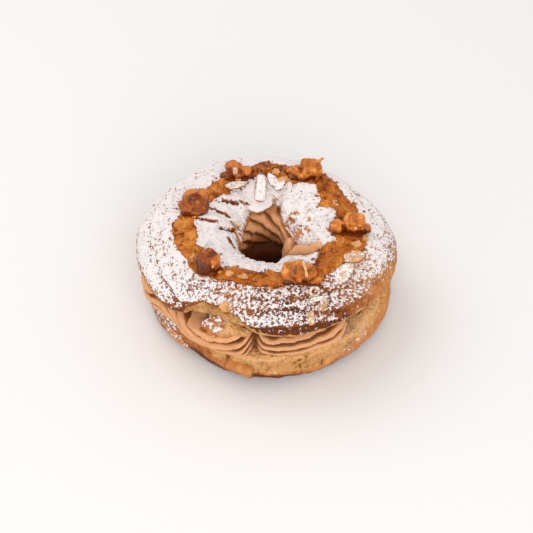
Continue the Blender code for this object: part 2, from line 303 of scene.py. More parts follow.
def grit(place, size, seed=0, octaves=3):
    """Rough noise between about -1 and 1, its largest lumps of a size in millimetres."""
    return noise.fractal(place * (1 / (size * MM)) + Vector((seed, 0.37 * seed, 0)), 0.8, 2.1, octaves)


def cells(place, size, seed=0):
    """How deep a place lies in an open crumb: 0 on the walls between cells and 1 in the middle of one."""
    near = noise.voronoi(place * (1 / (size * MM)) + Vector((seed, 0.37 * seed, 0)))[0]
    return smooth(0.02, 0.5, near[1] - near[0])


def plates(place, size, seed=0):
    """The lift of flakes that overlap: each cell has its own height and tilt, within about -1 to 1."""
    flat = Vector((place.x, place.y, 0.2 * place.z)) * (1 / (size * MM)) + Vector((seed, 0.37 * seed, 0))
    flat += 0.22 * nudge(flat * 2.3)
    cell = noise.voronoi(flat)[1][0]
    tilt = nudge(cell * 5.3)
    return tilt.z + 1.3 * tilt.xy.dot((flat - cell).xy)


def from_lines(place, lines):
    """How far a place lies from the nearest of some lines."""
    return min(from_line(place, start, end) for start, end in lines)


def from_line(place, start, end):
    """How far a place lies from a line, seen from above, in millimetres. The ends are (azimuth, radius)."""
    first, last, here = polar(*start, 0).xy, polar(*end, 0).xy, place.xy
    along = last - first
    share = min(max((here - first).dot(along) / along.length_squared, 0.0), 1.0)
    return (here - first - along * share).length / MM


def smooth(low, high, value):
    """0 before low, 1 past high, and a smooth step between them, upwards or downwards."""
    t = min(max((value - low) / (high - low), 0.0), 1.0)
    return t * t * (3 - 2 * t)


# ---- Rings ----

def even_turns(rows, section, share):
    """The turns that set rows at even steps round a section, thinned out where share(turn) is under 1."""
    steps = 40 * rows
    turns = [FULL_TURN * step / steps - math.pi for step in range(steps + 1)]
    reached = [0.0]
    for here, there in zip(turns, turns[1:]):
        reached.append(reached[-1] + math.dist(section(here), section(there)) * share(here))
    return [turns[bisect.bisect_left(reached, reached[-1] * row / rows)] for row in range(rows)]


def ring(columns, turns, point):
    """A closed ring: a grid rolled up both ways, each vertex at point(azimuth, turn), its seams merged."""
    rows = len(turns)
    bm = bmesh.new()
    bmesh.ops.create_grid(bm, x_segments=columns, y_segments=rows, size=1)
    azimuth_layer, turn_layer = (bm.verts.layers.float.new(name) for name in ("azimuth", "turn"))
    for vert in bm.verts:
        azimuth = 360 * (round((vert.co.x + 1) / 2 * columns) % columns) / columns
        turn = turns[round((vert.co.y + 1) / 2 * rows) % rows]
        vert[azimuth_layer] = azimuth
        vert[turn_layer] = turn
        vert.co = point(azimuth, turn)
    seam = [vert for vert in bm.verts if vert.is_boundary]
    bmesh.ops.remove_doubles(bm, verts=seam, dist=0.001 * MM)
    bmesh.ops.recalc_face_normals(bm, faces=bm.faces)
    return bm


def spots(bm):
    """(vertex, azimuth from -180 to 180, turn) of each vertex of a ring."""
    azimuth_layer, turn_layer = (bm.verts.layers.float[name] for name in ("azimuth", "turn"))
    for vert in bm.verts:
        yield vert, (round(vert[azimuth_layer], 3) + 180) % 360 - 180, vert[turn_layer]


def lift_skin(bm, lifts):
    """Moves each vertex along its normal by its lift, in millimetres."""
    bm.normal_update()
    for vert, lift in zip(bm.verts, lifts):
        vert.co += vert.normal * (lift * MM)
    bm.normal_update()


def carve(bm, relief):
    """Lifts each vertex of a ring by relief(azimuth, turn, place)."""
    lift_skin(bm, [relief(azimuth, turn, vert.co) for vert, azimuth, turn in spots(bm)])


def swell(bm, relief):
    """Lifts each vertex of a small piece by relief(place)."""
    lift_skin(bm, [relief(vert.co) for vert in bm.verts])


def paint(bm, **looks):
    """Stores each look(azimuth, turn, place, normal) on a ring's vertices, for its material to read."""
    for name, look in looks.items():
        layer = bm.verts.layers.float.new(name)
        for vert, azimuth, turn in spots(bm):
            vert[layer] = look(azimuth, turn, vert.co, vert.normal)


def flat_paint(bm, **looks):
    """Stores each look on the vertices of a small piece: look(place, normal), or one number."""
    for name, look in looks.items():
        layer = bm.verts.layers.float.new(name)
        for vert in bm.verts:
            vert[layer] = look(vert.co, vert.normal) if callable(look) else look


# ---- Pieces ----

def add_object(name, data):
    """Puts a mesh, a light or a camera into the scene."""
    made = bpy.data.objects.new(name, data)
    bpy.context.scene.collection.objects.link(made)
    return made


def to_mesh(name, bm):
    """Turns a bmesh into a mesh."""
    mesh = bpy.data.meshes.new(name)
    bm.to_mesh(mesh)
    bm.free()
    return mesh


def add_piece(name, bm, material, replaces=()):
    """Makes a bmesh a finished piece on the pastry's one body."""
    mesh = to_mesh(name, bm)
    mesh.materials.append(material)
    mesh.shade_smooth()
    piece = add_object(name, mesh)
    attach(piece, "root")
    if replaces:
        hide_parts(*replaces)
    return piece


def surface_tree(piece):
    """A tree of a piece's faces, to find its surface in."""
    bm = bmesh.new()
    bm.from_mesh(piece.data)
    tree = BVHTree.FromBMesh(bm)
    bm.free()
    return tree


def drop(tree, place):
    """Where a plumb line through a place first meets a surface, and that surface's normal."""
    hit, normal, _, _ = tree.ray_cast(Vector((place.x, place.y, 1)), -UP)
    return hit, normal


def fuse(bm, voxel_mm, smoothing=2):
    """One even skin round all the closed shapes of a bmesh."""
    mesh = to_mesh("shapes_to_fuse", bm)
    holder = add_object("shapes_to_fuse", mesh)
    skin = holder.modifiers.new("skin", "REMESH")
    skin.mode = "VOXEL"
    skin.voxel_size = voxel_mm * MM
    bpy.context.view_layer.update()
    fused = bmesh.new()
    fused.from_object(holder, bpy.context.evaluated_depsgraph_get())
    bpy.data.objects.remove(holder)
    bpy.data.meshes.remove(mesh)
    for _ in range(smoothing):
        bmesh.ops.smooth_vert(
            fused, verts=fused.verts, factor=0.5, use_axis_x=True, use_axis_y=True, use_axis_z=True
        )
    fused.normal_update()
    return fused


def add_ball(bm, middle, halves, heading=0.0, lean=0.0, power=2.0):
    """Adds an egg, or with a higher power a rounded block.

    It has a middle and half sizes in millimetres, and is turned about its own Y and then about Z.
    """
    turned = (
        Matrix.Translation(Vector(middle) * MM)
        @ Matrix.Rotation(math.radians(heading), 4, "Z")
        @ Matrix.Rotation(math.radians(lean), 4, "Y")
        @ Matrix.Diagonal((*(half * MM for half in halves), 1))
    )
    made = bmesh.ops.create_icosphere(bm, subdivisions=3 if power == 2 else 4, radius=1)
    for vert in made["verts"]:
        size = sum(abs(part) ** power for part in vert.co) ** (1 / power)
        vert.co = turned @ (vert.co / size)


def join(whole, part):
    """Adds one bmesh to another, layers and all."""
    mesh = to_mesh("part_to_join", part)
    whole.from_mesh(mesh)
    bpy.data.meshes.remove(mesh)


# How finely a flake is divided, round its rim and from the rim to the middle.
FLAKE_SEGMENTS = 56
FLAKE_RINGS = 5


def flake(length, width, thickness, seed, taper, ragged=0.16, curl=0.0, power=2.0):
    """A flake, flat in XY with its length along X. Its skin layer marks the rim.

    A power over 2 squares its corners.
    """
    bm = bmesh.new()
    bmesh.ops.create_cone(
        bm, cap_ends=True, cap_tris=False, segments=FLAKE_SEGMENTS, radius1=1, radius2=1, depth=1
    )
    for _ in range(FLAKE_RINGS):
        caps = [face for face in bm.faces if len(face.verts) == FLAKE_SEGMENTS]
        bmesh.ops.inset_individual(bm, faces=caps, thickness=1 / (FLAKE_RINGS + 1), use_even_offset=True)
    bmesh.ops.poke(bm, faces=[face for face in bm.faces if len(face.verts) == FLAKE_SEGMENTS])
    skin = bm.verts.layers.float.new("skin")
    shift = Vector((seed, 0, 0))
    for vert in bm.verts:
        out = vert.co.xy.length
        along, across = vert.co.xy
        side = math.copysign(1, vert.co.z)
        circle = Vector((along, across, 0)).normalized() * 1.6
        squareness = 1.0
        if out:
            squareness = (abs(circle.x) ** power + abs(circle.y) ** power) ** (1 / power) / circle.length
        wander = noise.noise(circle + shift) + 0.6 * noise.noise(circle * 3.1 + shift)
        reach = (1 + ragged * wander) / squareness
        vert[skin] = smooth(0.88, 1.0, out)
        vert.co.x = along * reach * length / 2
        vert.co.y = across * reach * (1 - taper * along) * width / 2
        rim = 1 - 0.45 * smooth(0.8, 1.0, out)
        ripple = 0.35 * noise.noise(vert.co * 0.4 + Vector((0, seed, 0)))
        vert.co.z = side * thickness / 2 * rim + curl * along * along + ripple
        vert.co *= MM
    return bm


def lay(bm, tree, azimuth, radius, heading, pitch, roll, lift):
    """Lays a bmesh on a surface. Heading turns it about Z, pitch lifts its far end and roll its left."""
    hit, normal = drop(tree, polar(azimuth, radius, 0))
    lie = UP.rotation_difference(normal.lerp(UP, 0.25).normalized()).to_matrix().to_4x4()
    turn = (
        Matrix.Rotation(math.radians(heading), 4, "Z")
        @ Matrix.Rotation(math.radians(-pitch), 4, "Y")
        @ Matrix.Rotation(math.radians(roll), 4, "X")
    )
    bm.transform(Matrix.Translation(hit + normal * lift * MM) @ lie @ turn)
    bm.normal_update()


# ---- Shader maths ----

class Wire:
    """A shader socket. Arithmetic on wires adds the Math nodes that work it out."""

    def __init__(self, graph, socket):
        self.graph = graph
        self.socket = socket

    def math(self, operation, *values):
        return self.graph.node("ShaderNodeMath", {"operation": operation}, dict(enumerate(values)))

    def __add__(self, other):
        return self.math("ADD", self, other)

    def __sub__(self, other):
        return self.math("SUBTRACT", self, other)

    def __mul__(self, other):
        return self.math("MULTIPLY", self, other)

    def __radd__(self, other):
        return self.math("ADD", other, self)

    def __rsub__(self, other):
        return self.math("SUBTRACT", other, self)

    def __rmul__(self, other):
        return self.math("MULTIPLY", other, self)

    def step(self, low, high):
        """0 where the wire is under low, 1 where it is over high, and a smooth step between them."""
        values = {"Value": self, "From Min": low, "From Max": high}
        return self.graph.node("ShaderNodeMapRange", {"interpolation_type": "SMOOTHSTEP"}, values)

    def clamp(self):
        return self.graph.node("ShaderNodeClamp", {}, {"Value": self})


class Graph:
    """A material's nodes, around its Principled BSDF."""

    def __init__(self, name, **constants):
        self.material = bpy.data.materials.new(name)
        self.material.use_nodes = True
        self.tree = self.material.node_tree
        self.shader = self.tree.nodes["Principled BSDF"]
        for socket, value in constants.items():
            self.shader.inputs[socket.replace("_", " ")].default_value = value
        self.place = self.node("ShaderNodeTexCoord", {}, {}, "Object")

    def plug(self, socket, value):
        if isinstance(value, Wire):
            self.tree.links.new(value.socket, socket)
        elif socket.type == "RGBA" and len(value) == 3:
            socket.default_value = (*value, 1)
        else:
            socket.default_value = value

    def node(self, kind, settings, values, output=0):
        """Adds a node: its settings first, then the values or wires of its sockets. Returns one output."""
        node = self.tree.nodes.new(kind)
        for name, setting in settings.items():
            setattr(node, name, setting)
        for name, value in values.items():
            self.plug(node.inputs[name], value)
        return Wire(self, node.outputs[output])

    def attribute(self, name):
        return self.node("ShaderNodeAttribute", {"attribute_name": name}, {}, "Fac")

    def noise(self, size, detail=2.0, roughness=0.5, distortion=0.0, place=None):
        """Noise with lumps of a size in millimetres."""
        values = {
            "Vector": place or self.place,
            "Scale": 0.5 / (size * MM),
            "Detail": detail,
            "Roughness": roughness,
            "Distortion": distortion,
        }
        return self.node("ShaderNodeTexNoise", {}, values, "Fac")

    def crumb_cells(self, size):
        """0 on the walls of an open crumb and rising into its cells, which have a size in millimetres."""
        values = {"Vector": self.place, "Scale": 1 / (size * MM)}
        return self.node("ShaderNodeTexVoronoi", {"feature": "DISTANCE_TO_EDGE"}, values, "Distance")

    def stretched(self, scale):
        """The object's coordinates, scaled differently along X, Y and Z."""
        return self.node("ShaderNodeMapping", {}, {"Vector": self.place, "Scale": scale})

    def mix(self, first, second, share):
        """A colour between two colours."""
        node = self.tree.nodes.new("ShaderNodeMix")
        node.data_type = "RGBA"
        self.plug(node.inputs["Factor"], share)
        for socket, colour in zip([s for s in node.inputs if s.type == "RGBA"], (first, second)):
            self.plug(socket, colour)
        return Wire(self, next(s for s in node.outputs if s.type == "RGBA"))

    def blend(self, share, *colours):
        """A colour from a row of colours that share runs through, from 0 to 1."""
        spans = len(colours) - 1
        colour = colours[0]
        for number, following in enumerate(colours[1:]):
            colour = self.mix(colour, following, share.step(number / spans, (number + 1) / spans))
        return colour

    def finish(self, colour, roughness, relief=None, relief_mm=1.0, **others):
        """Plugs the looks into the shader. The relief runs from 0 to 1 over a height of relief_mm."""
        self.plug(self.shader.inputs["Base Color"], colour)
        self.plug(self.shader.inputs["Roughness"], roughness)
        if relief is not None:
            values = {"Height": relief, "Strength": 1.0, "Distance": relief_mm * MM}
            self.plug(self.shader.inputs["Normal"], self.node("ShaderNodeBump", {}, values))
        for socket, value in others.items():
            self.plug(self.shader.inputs[socket.replace("_", " ")], value)
        return self.material


# Colours, in linear light. Where there are several, a share that runs from 0 to 1 runs through them in turn.
SUGAR_WHITE = (0.82, 0.775, 0.77)
SUGAR_SHADE = (0.71, 0.63, 0.61)
# The crust's colours also carry painted shade: its darkest stands for the shade deep in the ring's hole.
CRUST_COLOURS = ((0.72, 0.34, 0.095), (0.54, 0.20, 0.05), (0.30, 0.085, 0.018), (0.125, 0.026, 0.004))
# The crumb's darker colours are painted shade, deep in its cells, pits and hollows.
CRUMB_COLOURS = ((0.79, 0.455, 0.19), (0.63, 0.315, 0.115), (0.40, 0.185, 0.058), (0.16, 0.055, 0.012))
CREAM_LIGHT = (0.74, 0.38, 0.185)
CREAM_MIDDLE = (0.58, 0.27, 0.115)
# Painted shade on the cream: in its grooves, under the lid and deep in the hole.
CREAM_SHADE_COLOURS = ((0.42, 0.17, 0.055), (0.15, 0.045, 0.010))
NUT_SPECK = (0.26, 0.09, 0.03)
PRALINE_COLOURS = ((0.69, 0.265, 0.042), (0.44, 0.115, 0.007), (0.16, 0.027, 0.001))
# The caramels' darker colours also serve as painted shade, and their lighter ones as painted highlights.
AMBER_COLOURS = ((0.80, 0.30, 0.058), (0.48, 0.125, 0.014), (0.10, 0.016, 0.002))
BROWN_COLOURS = ((0.60, 0.18, 0.035), (0.30, 0.060, 0.009), (0.11, 0.018, 0.003))
ALMOND_SKIN = (0.36, 0.13, 0.03)
PALE_ALMOND = ((0.80, 0.51, 0.275), (0.62, 0.29, 0.095))
TOASTED_ALMOND = ((0.72, 0.38, 0.14), (0.50, 0.18, 0.04))
FLOOR_COLOURS = ((0.80, 0.784, 0.776), (0.82, 0.804, 0.796))


def sugar_layer(graph, cover):
    """Where sugar lies, from 0 to 1, for a cover that runs from 0 to 1."""
    clump = graph.noise(0.74, 2.5, 0.62, 0.3)
    grain = graph.noise(0.3, 1.0)
    pattern = clump * 0.7 + grain * 0.3
    edge = 0.655 - cover * 0.31
    return (pattern - edge).step(-0.015, 0.025)


def choux_material(name):
    """Baked choux: crust from golden to dark brown, open crumb where it is torn or cut, and sugar on top."""
    graph = Graph(name, Specular_IOR_Level=0.12)
    crumb = graph.attribute("crumb")
    mottle = graph.noise(3.4, 3.0, 0.6)
    freckle = graph.noise(0.9, 2.0, 0.6)
    # Painted shade rides on the bake layer too: in the hole, under shelves, in slits and under the knob.
    tone = (graph.attribute("bake") + (mottle - 0.5) * 0.9 + (freckle - 0.5) * 0.45).clamp()
    crust = graph.blend(tone, *CRUST_COLOURS)
    # Painted shade: the crumb is darker inside its cells and where the pit layer says it lies deep.
    hollow = graph.crumb_cells(2.0).step(0.0, 0.35)
    fine_hollow = graph.crumb_cells(0.75).step(0.0, 0.3)
    depth = (hollow * 0.2 + (mottle - 0.5) * 0.9 + graph.attribute("pit") * 0.95).clamp()
    inside = graph.blend(depth, *CRUMB_COLOURS)
    shown_crumb = (crumb + (freckle - 0.5) * 0.5).step(0.38, 0.62)
    bare = graph.mix(crust, inside, shown_crumb)
    sugar = sugar_layer(graph, graph.attribute("sugar"))
    powder = graph.mix(SUGAR_SHADE, SUGAR_WHITE, (sugar * 0.65 + freckle * 0.45).clamp())
    colour = graph.mix(bare, powder, sugar * 0.97)
    roughness = 0.52 + sugar * 0.42 + shown_crumb * (1 - sugar) * 0.25
    crumb_relief = (0.6 * hollow + 0.4 * fine_hollow) * shown_crumb * -0.55
    relief = sugar * 0.42 + graph.noise(0.35, 1.0) * (0.1 + sugar * 0.22) + mottle * 0.25 + crumb_relief
    return graph.finish(colour, roughness, relief, 0.6)


def cream_material():
    """Praline buttercream: smooth, light caramel brown, with fine drag lines and specks of nut."""
    graph = Graph(
        "praline_cream", Specular_IOR_Level=0.2, Subsurface_Weight=0.12, Subsurface_Scale=0.002,
        Subsurface_Radius=(1.0, 0.5, 0.25),
    )
    drag = graph.noise(1.2, 3.0, 0.6, place=graph.stretched((0.35, 0.35, 2.2)))
    speck = graph.noise(0.5, 1.0).step(0.69, 0.74)
    body = graph.mix(CREAM_LIGHT, CREAM_MIDDLE, (drag - 0.35) * 1.6)
    # Painted shade: the groove layer darkens the cream towards its shade colours.
    colour = graph.blend(graph.attribute("groove"), body, *CREAM_SHADE_COLOURS)
    colour = graph.mix(colour, NUT_SPECK, speck * 0.5)
    relief = drag * 0.5 + graph.noise(2.6, 2.0) * 0.5 + graph.noise(0.4, 1.0) * 0.12
    return graph.finish(colour, 0.48, relief, 0.35)


def praline_material():
    """Praline paste: orange-brown ground caramel, grainy and a little glossy."""
    graph = Graph("praline", Specular_IOR_Level=0.22)
    grain = graph.noise(0.5, 2.0, 0.6)
    patch = graph.noise(2.6, 3.0, 0.55)
    tone = ((patch - 0.5) * 2.1 + (grain - 0.5) * 1.2 + graph.attribute("dark") + 0.55).clamp()
    colour = graph.blend(tone, *PRALINE_COLOURS)
    roughness = 0.36 + (grain - 0.5) * 0.5
    return graph.finish(colour, roughness, grain * 0.7 + patch * 0.3, 0.5)


def candied_material(name, colours):
    """Caramel round a roasted nut: glossy, with painted shade and highlights from its dark layer."""
    graph = Graph(
        name, Specular_IOR_Level=0.3, Specular_Tint=(1.0, 0.75, 0.5, 1), Coat_Roughness=0.1,
        Subsurface_Weight=0.08, Subsurface_Scale=0.0015, Subsurface_Radius=(1.0, 0.35, 0.1),
    )
    streak = graph.noise(2.4, 3.0, 0.55, 0.8)
    grain = graph.noise(0.6, 2.0, 0.6)
    # Painted shade and highlights come in through the dark layer, with some darker tone of the caramel.
    tone = (0.38 + (streak - 0.5) * 2.2 + (grain - 0.5) * 0.6 + graph.attribute("dark") * 0.7).clamp()
    colour = graph.blend(tone, *colours)
    roughness = 0.17 + (grain - 0.4) * 0.3
    relief = streak * 0.75 + grain * 0.25
    return graph.finish(colour, roughness, relief, 0.3, Coat_Weight=0.22 + (streak - 0.5) * 0.8)


def almond_material(name, light, dark):
    """Almond: pale to toasted, with a thin brown skin at a flake's rim, and dusted with sugar."""
    graph = Graph(name, Specular_IOR_Level=0.2)
    toast = graph.noise(3.0, 2.0)
    vein = graph.noise(0.8, 2.0, 0.6)
    flesh = graph.mix(light, dark, ((toast - 0.4) * 2.4 + (vein - 0.5) + graph.attribute("toast")).clamp())
    bare = graph.mix(flesh, ALMOND_SKIN, graph.attribute("skin"))
    sugar = sugar_layer(graph, graph.attribute("sugar"))
    colour = graph.mix(bare, SUGAR_WHITE, sugar * 0.97)
    relief = sugar * 0.5 + graph.noise(0.35, 1.0) * (0.1 + sugar * 0.3) + vein * 0.2
    return graph.finish(colour, 0.5 + sugar * 0.42, relief, 0.45)


def sugar_material():
    """Icing sugar that lies in clumps."""
    graph = Graph("icing_sugar", Specular_IOR_Level=0.2)
    grain = graph.noise(0.3, 2.0, 0.7)
    colour = graph.mix(SUGAR_SHADE, SUGAR_WHITE, grain.step(0.3, 0.6))
    return graph.finish(colour, 0.9 + (grain - 0.5) * 0.1, grain, 0.4)


def floor_material():
    """A plain white surface, a little warm and uneven."""
    graph = Graph("floor", Specular_IOR_Level=0.2)
    tint = graph.noise(220.0, 1.0)
    return graph.finish(graph.mix(*FLOOR_COLOURS, tint), 0.6 + (tint - 0.5) * 0.1)


# ---- The base ----

def base_point(azimuth, turn):
    """The base: a flat foot, a rounded crust and a level cut face."""
    outer = around(BASE_REACH_MM, azimuth) + 0.8 * unevenness(azimuth, turn, 3, 5)
    top = around(BASE_TOP_MM, azimuth)
    radius, height = section_point(
        turn, outer, BASE_HOLE_MM, BASE_BELLY_MM, top + 1.2, BASE_BOTTOM_MM, **BASE_ROUNDING
    )
    return polar(azimuth, radius, min(max(height, 0.0), top))


def base_crust(azimuth, place):
    """1 where the base's flank is crust and 0 where it is cut crumb."""
    edge = around(BASE_CRUST_MM, azimuth) + 1.6 * lumps(place, 7, 3) + 0.7 * lumps(place, 2.2, 4)
    return 1 - smooth(-0.7, 0.7, place.z / MM - edge)


def base_pit(azimuth, place):
    """How deep the base's flank is pitted, from 0 to 1: tall cells with thin walls, in scattered patches."""
    tall = Vector((place.x, place.y, place.z * 0.5))
    patch = smooth(0.0, 0.4, lumps(place, 6, 8))
    pit = cells(tall, 2.9, 7) * patch + 0.6 * cells(place, 1.5, 9) * smooth(0.1, 0.4, lumps(place, 4, 10))
    return min(1.0, pit) * (1 - base_crust(azimuth, place))


def base_hollow(azimuth, place):
    """How deep the cut crumb lies back between the base's upper rim and its crust."""
    height, top = place.z / MM, around(BASE_TOP_MM, azimuth)
    return smooth(top - 1.4, top - 3.6, height) * (1 - base_crust(azimuth, place))


def base_relief(azimuth, turn, place):
    """The base's lumps and pits, which leave its foot flat."""
    height = place.z / MM
    if height < 0.3:
        return 0.0
    crust = base_crust(azimuth, place)
    relief = 0.5 * lumps(place, 9, 1) + 0.35 * lumps(place, 3.2, 2) + 0.2 * grit(place, 1.8, 5, 2)
    relief += crust * (0.5 - 0.25 * cells(place, 4.5, 6)) - 1.2 * base_pit(azimuth, place)
    relief -= (1.0 + 0.5 * lumps(place, 5, 11)) * base_hollow(azimuth, place)
    return relief * smooth(0.3, 2.0, height) if math.cos(turn) > -0.2 else 0.8 * lumps(place, 4, 12)


def past_left(azimuth):
    """The azimuth counted from 0 down to -360, so that it runs past the left without a jump."""
    return azimuth if azimuth < 0 else azimuth - 360


def make_base(material):
    """The cut lower half of the choux ring."""
    section = functools.partial(
        section_point, outer=57, hole=BASE_HOLE_MM, belly=BASE_BELLY_MM, top=21.4, bottom=BASE_BOTTOM_MM,
        **BASE_ROUNDING,
    )
    turns = even_turns(BASE_ROWS, section, lambda turn: 1.0 if abs(turn) < 1.35 else 0.45)
    bm = ring(BASE_COLUMNS, turns, base_point)
    carve(bm, base_relief)
    for vert, azimuth, _ in spots(bm):
        highest = (around(BASE_TOP_MM, azimuth) + 0.25) * MM
        vert.co.z = min(max(vert.co.z, 0.0), highest)

    def crumb(azimuth, turn, place, normal):
        if normal.z > 0.8 and place.z > 15 * MM:
            return 1.0
        return (1 - base_crust(azimuth, place)) * (math.cos(turn) > -0.1)

    def bake(azimuth, turn, place, normal):
        height, away = place.z / MM, past_left(azimuth)
        left = smooth(-108, -128, away) * smooth(-345, -290, away)
        foot = 1 - smooth(2.0, 5.6, height) + smooth(2.4, 0.8, height)
        burnt = smooth(-136, -130, away) * smooth(-106, -114, away) * smooth(9.0, 5.0, height)
        scorched = smooth(8.3, 6.9, height + 1.0 * lumps(place, 6, 25))
        scorched *= smooth(-110, -104, away) * smooth(-66, -92, away)
        line = smooth(5.0, 3.6, height + 0.8 * lumps(place, 9, 26)) * smooth(-112, -104, away)
        burnt += 0.95 * scorched + 0.45 * line
        patch = max(0.0, lumps(place, 6, 21))
        # The wall in the ring's hole, a baked crust, is painted darkest for the shade down there.
        hole_shade = 1.0 if math.cos(turn) < 0 else 0.0
        return 0.28 + 0.2 * left + 0.72 * foot + 0.9 * burnt + 0.25 * patch + hole_shade

    def sugar(azimuth, turn, place, normal):
        away = past_left(azimuth)
        left = smooth(-132, -146, away) * smooth(-230, -190, away)
        right = 0.55 * smooth(-62, -50, azimuth) * (1 - smooth(-40, -25, azimuth))
        return (0.55 * left + 0.5 * right) * smooth(-0.2, 0.5, normal.z + 0.25) * (turn < 1.5)

    def pit(azimuth, turn, place, normal):
        # Painted shade: the crumb is darker in its pits, in the hollow behind the rim, and darkest in the
        # hole.
        inner = 0.0 if math.cos(turn) > -0.1 else 1.0
        return 0.75 * base_pit(azimuth, place) + 0.25 * base_hollow(azimuth, place) + inner

    paint(bm, crumb=crumb, bake=bake, sugar=sugar, pit=pit)
    return add_piece("base_choux_half", bm, material, ["choux_base"])


# ---- The cream ----

def ridge_profile(phase):
    """A star nozzle's ridge, from -1 in the groove to 1 on the crest: a broad rib with a narrow groove."""
    return 2 * abs(math.sin(math.pi * phase)) ** 0.7 - 1


def fold_profile(share):
    """A fold of cream that hangs over the one below, from -1 under its lower edge to 1 on it."""
    if share < 0.2:
        return 2 * smooth(0, 0.2, share) - 1
    return 1 - 2 * ((share - 0.2) / 0.8) ** 1.6


def cream_ridge(azimuth, turn, height, outside):
    """How far a ridge lifts the cream here, in millimetres, and how deep in the shade it lies."""
    upright = abs(math.cos(turn)) ** 0.6
    wander = unevenness(azimuth, turn, 4, 41)
    if outside:
        share = (height / OUTER_RIDGE_PITCH_MM - around(RIDGE_CLIMB, azimuth) + 0.2 * wander) % 1
        ridge, shade = fold_profile(share), around(FOLD_SHADE, azimuth)
        return around(OUTER_RIDGE_DEPTH_MM, azimuth) * ridge * upright, smooth(shade, shade + 0.2, share)
    ridge = ridge_profile(height / INNER_RIDGE_PITCH_MM - INNER_RIDGES_ROUND * azimuth / 360 + 0.3 * wander)
    # Painted shade: darker low on the hole's far wall, less dark on its near right side.
    far = smooth(40, 75, azimuth % 360) * smooth(300, 250, azimuth % 360)
    near = smooth(35, 15, azimuth % 360) + smooth(290, 320, azimuth % 360)
    shade = (1 - 0.45 * near) * smooth(0.5, -0.6, ridge) + far * (0.1 + 0.7 * smooth(33, 25, height))
    return INNER_RIDGE_DEPTH_MM * ridge * upright, min(1.0, shade)


def cream_point(azimuth, turn):
    """The filling: a fat piped rope between the two halves, with its ridges."""
    outer, hole = around(CREAM_REACH_MM, azimuth), around(CREAM_HOLE_MM, azimuth)
    bottom = around(BASE_TOP_MM, azimuth) + LAYER_GAP_MM
    top = around(LID_UNDERSIDE_MM, azimuth) - LAYER_GAP_MM
    middle = (bottom + top) / 2
    radius, height = section_point(turn, outer, hole, middle, top + 1.5, bottom - 1.5, **CREAM_ROUNDING)
    outside = radius > MID_RADIUS_MM
    if outside:
        top -= around(CREAM_DROPS_MM, azimuth) * smooth(44, 50, radius)
    height = min(max(height, bottom), top)
    if not outside:
        near = smooth(hole + 9, hole + 4, radius)
        height += around(CREAM_WELLS_UP_MM, azimuth) * near * smooth(bottom, top, height)
        radius += 2.5 * near * smooth(top, top + 8, height)
    lift, _ = cream_ridge(azimuth, turn, height, outside)
    radius += lift if outside else -lift
    return polar(azimuth, radius, height)


def make_cream(material):
    """The cream between the halves, with painted shade in its grooves, under the lid and in the hole."""
    section = functools.partial(
        section_point, outer=56, hole=13, belly=27, top=35, bottom=18, **CREAM_ROUNDING
    )
    turns = even_turns(CREAM_ROWS, section, lambda turn: 1.0 if abs(math.cos(turn)) > 0.35 else 0.25)
    bm = ring(CREAM_COLUMNS, turns, cream_point)
    carve(bm, lambda azimuth, turn, place: 0.3 * lumps(place, 7, 51) + 0.1 * grit(place, 2.0, 52))

    def groove(azimuth, turn, place, normal):
        # Painted shade: darker in the right-hand gap, under the lid, under the torn rim and deep in the hole.
        outside = math.cos(turn) > 0
        height = place.z / MM
        if outside:
            gap = smooth(53.0, 51.2, around(CREAM_REACH_MM, azimuth))
            under_rim = 0.8 * smooth(-1.6, -0.4, height - around(LID_UNDERSIDE_MM, azimuth))
            hollow = smooth(0.5, 2.5, around(CREAM_DROPS_MM, azimuth)) * smooth(32.0, 34.0, height)
            gap = max(gap, under_rim, hollow)
        else:
            gap = max(smooth(31, 22, height), 0.6 * smooth(38, 43, height))
        return max(gap, cream_ridge(azimuth, turn, height, outside)[1])

    paint(bm, groove=groove)
    return add_piece("piped_cream", bm, material, ["praline_cream"])


# Smears of cream: eggs at an azimuth, a radius and a height, with half sizes, heading and lean.
CREAM_SMEARS = (
    ("cream_lobe", (
        ((-2, 9.8, 32.0), (2.9, 5.6, 9.4), -2, 4),
        ((16, 12.0, 30.0), (2.6, 3.4, 8.5), 16, 0),
        ((-28, 13.4, 27.0), (3.0, 4.4, 8.0), -28, 0),
    )),
    ("cream_wedge", (
        ((-25.5, 19.4, 40.4), (7.0, 2.9, 4.8), -29, -16),
        ((-34, 15.0, 35.0), (3.2, 3.4, 8.0), -33, 0),
        ((-18, 25.0, 43.4), (4.6, 2.8, 3.4), -14, -14),
    )),
)


def make_cream_smears(material):
    """Cream that wells up at the right of the hole, and the wedge of it that fills the gap in the lid."""
    for name, shapes in CREAM_SMEARS:
        bm = bmesh.new()
        for (azimuth, radius, height), halves, heading, lean in shapes:
            add_ball(bm, polar(azimuth, radius, height) / MM, halves, heading, lean)
        bm = fuse(bm, 0.36, 4)
        swell(bm, lambda place: 0.12 * math.sin(2.2 * (place.x - place.y) / MM) + 0.2 * lumps(place, 4, 55))
        # Painted shade: the smears are darker where they face down.
        flat_paint(bm, groove=lambda place, normal: 0.25 * smooth(0.0, -0.6, normal.z))
        add_piece(name, bm, material)


# ---- The lid ----

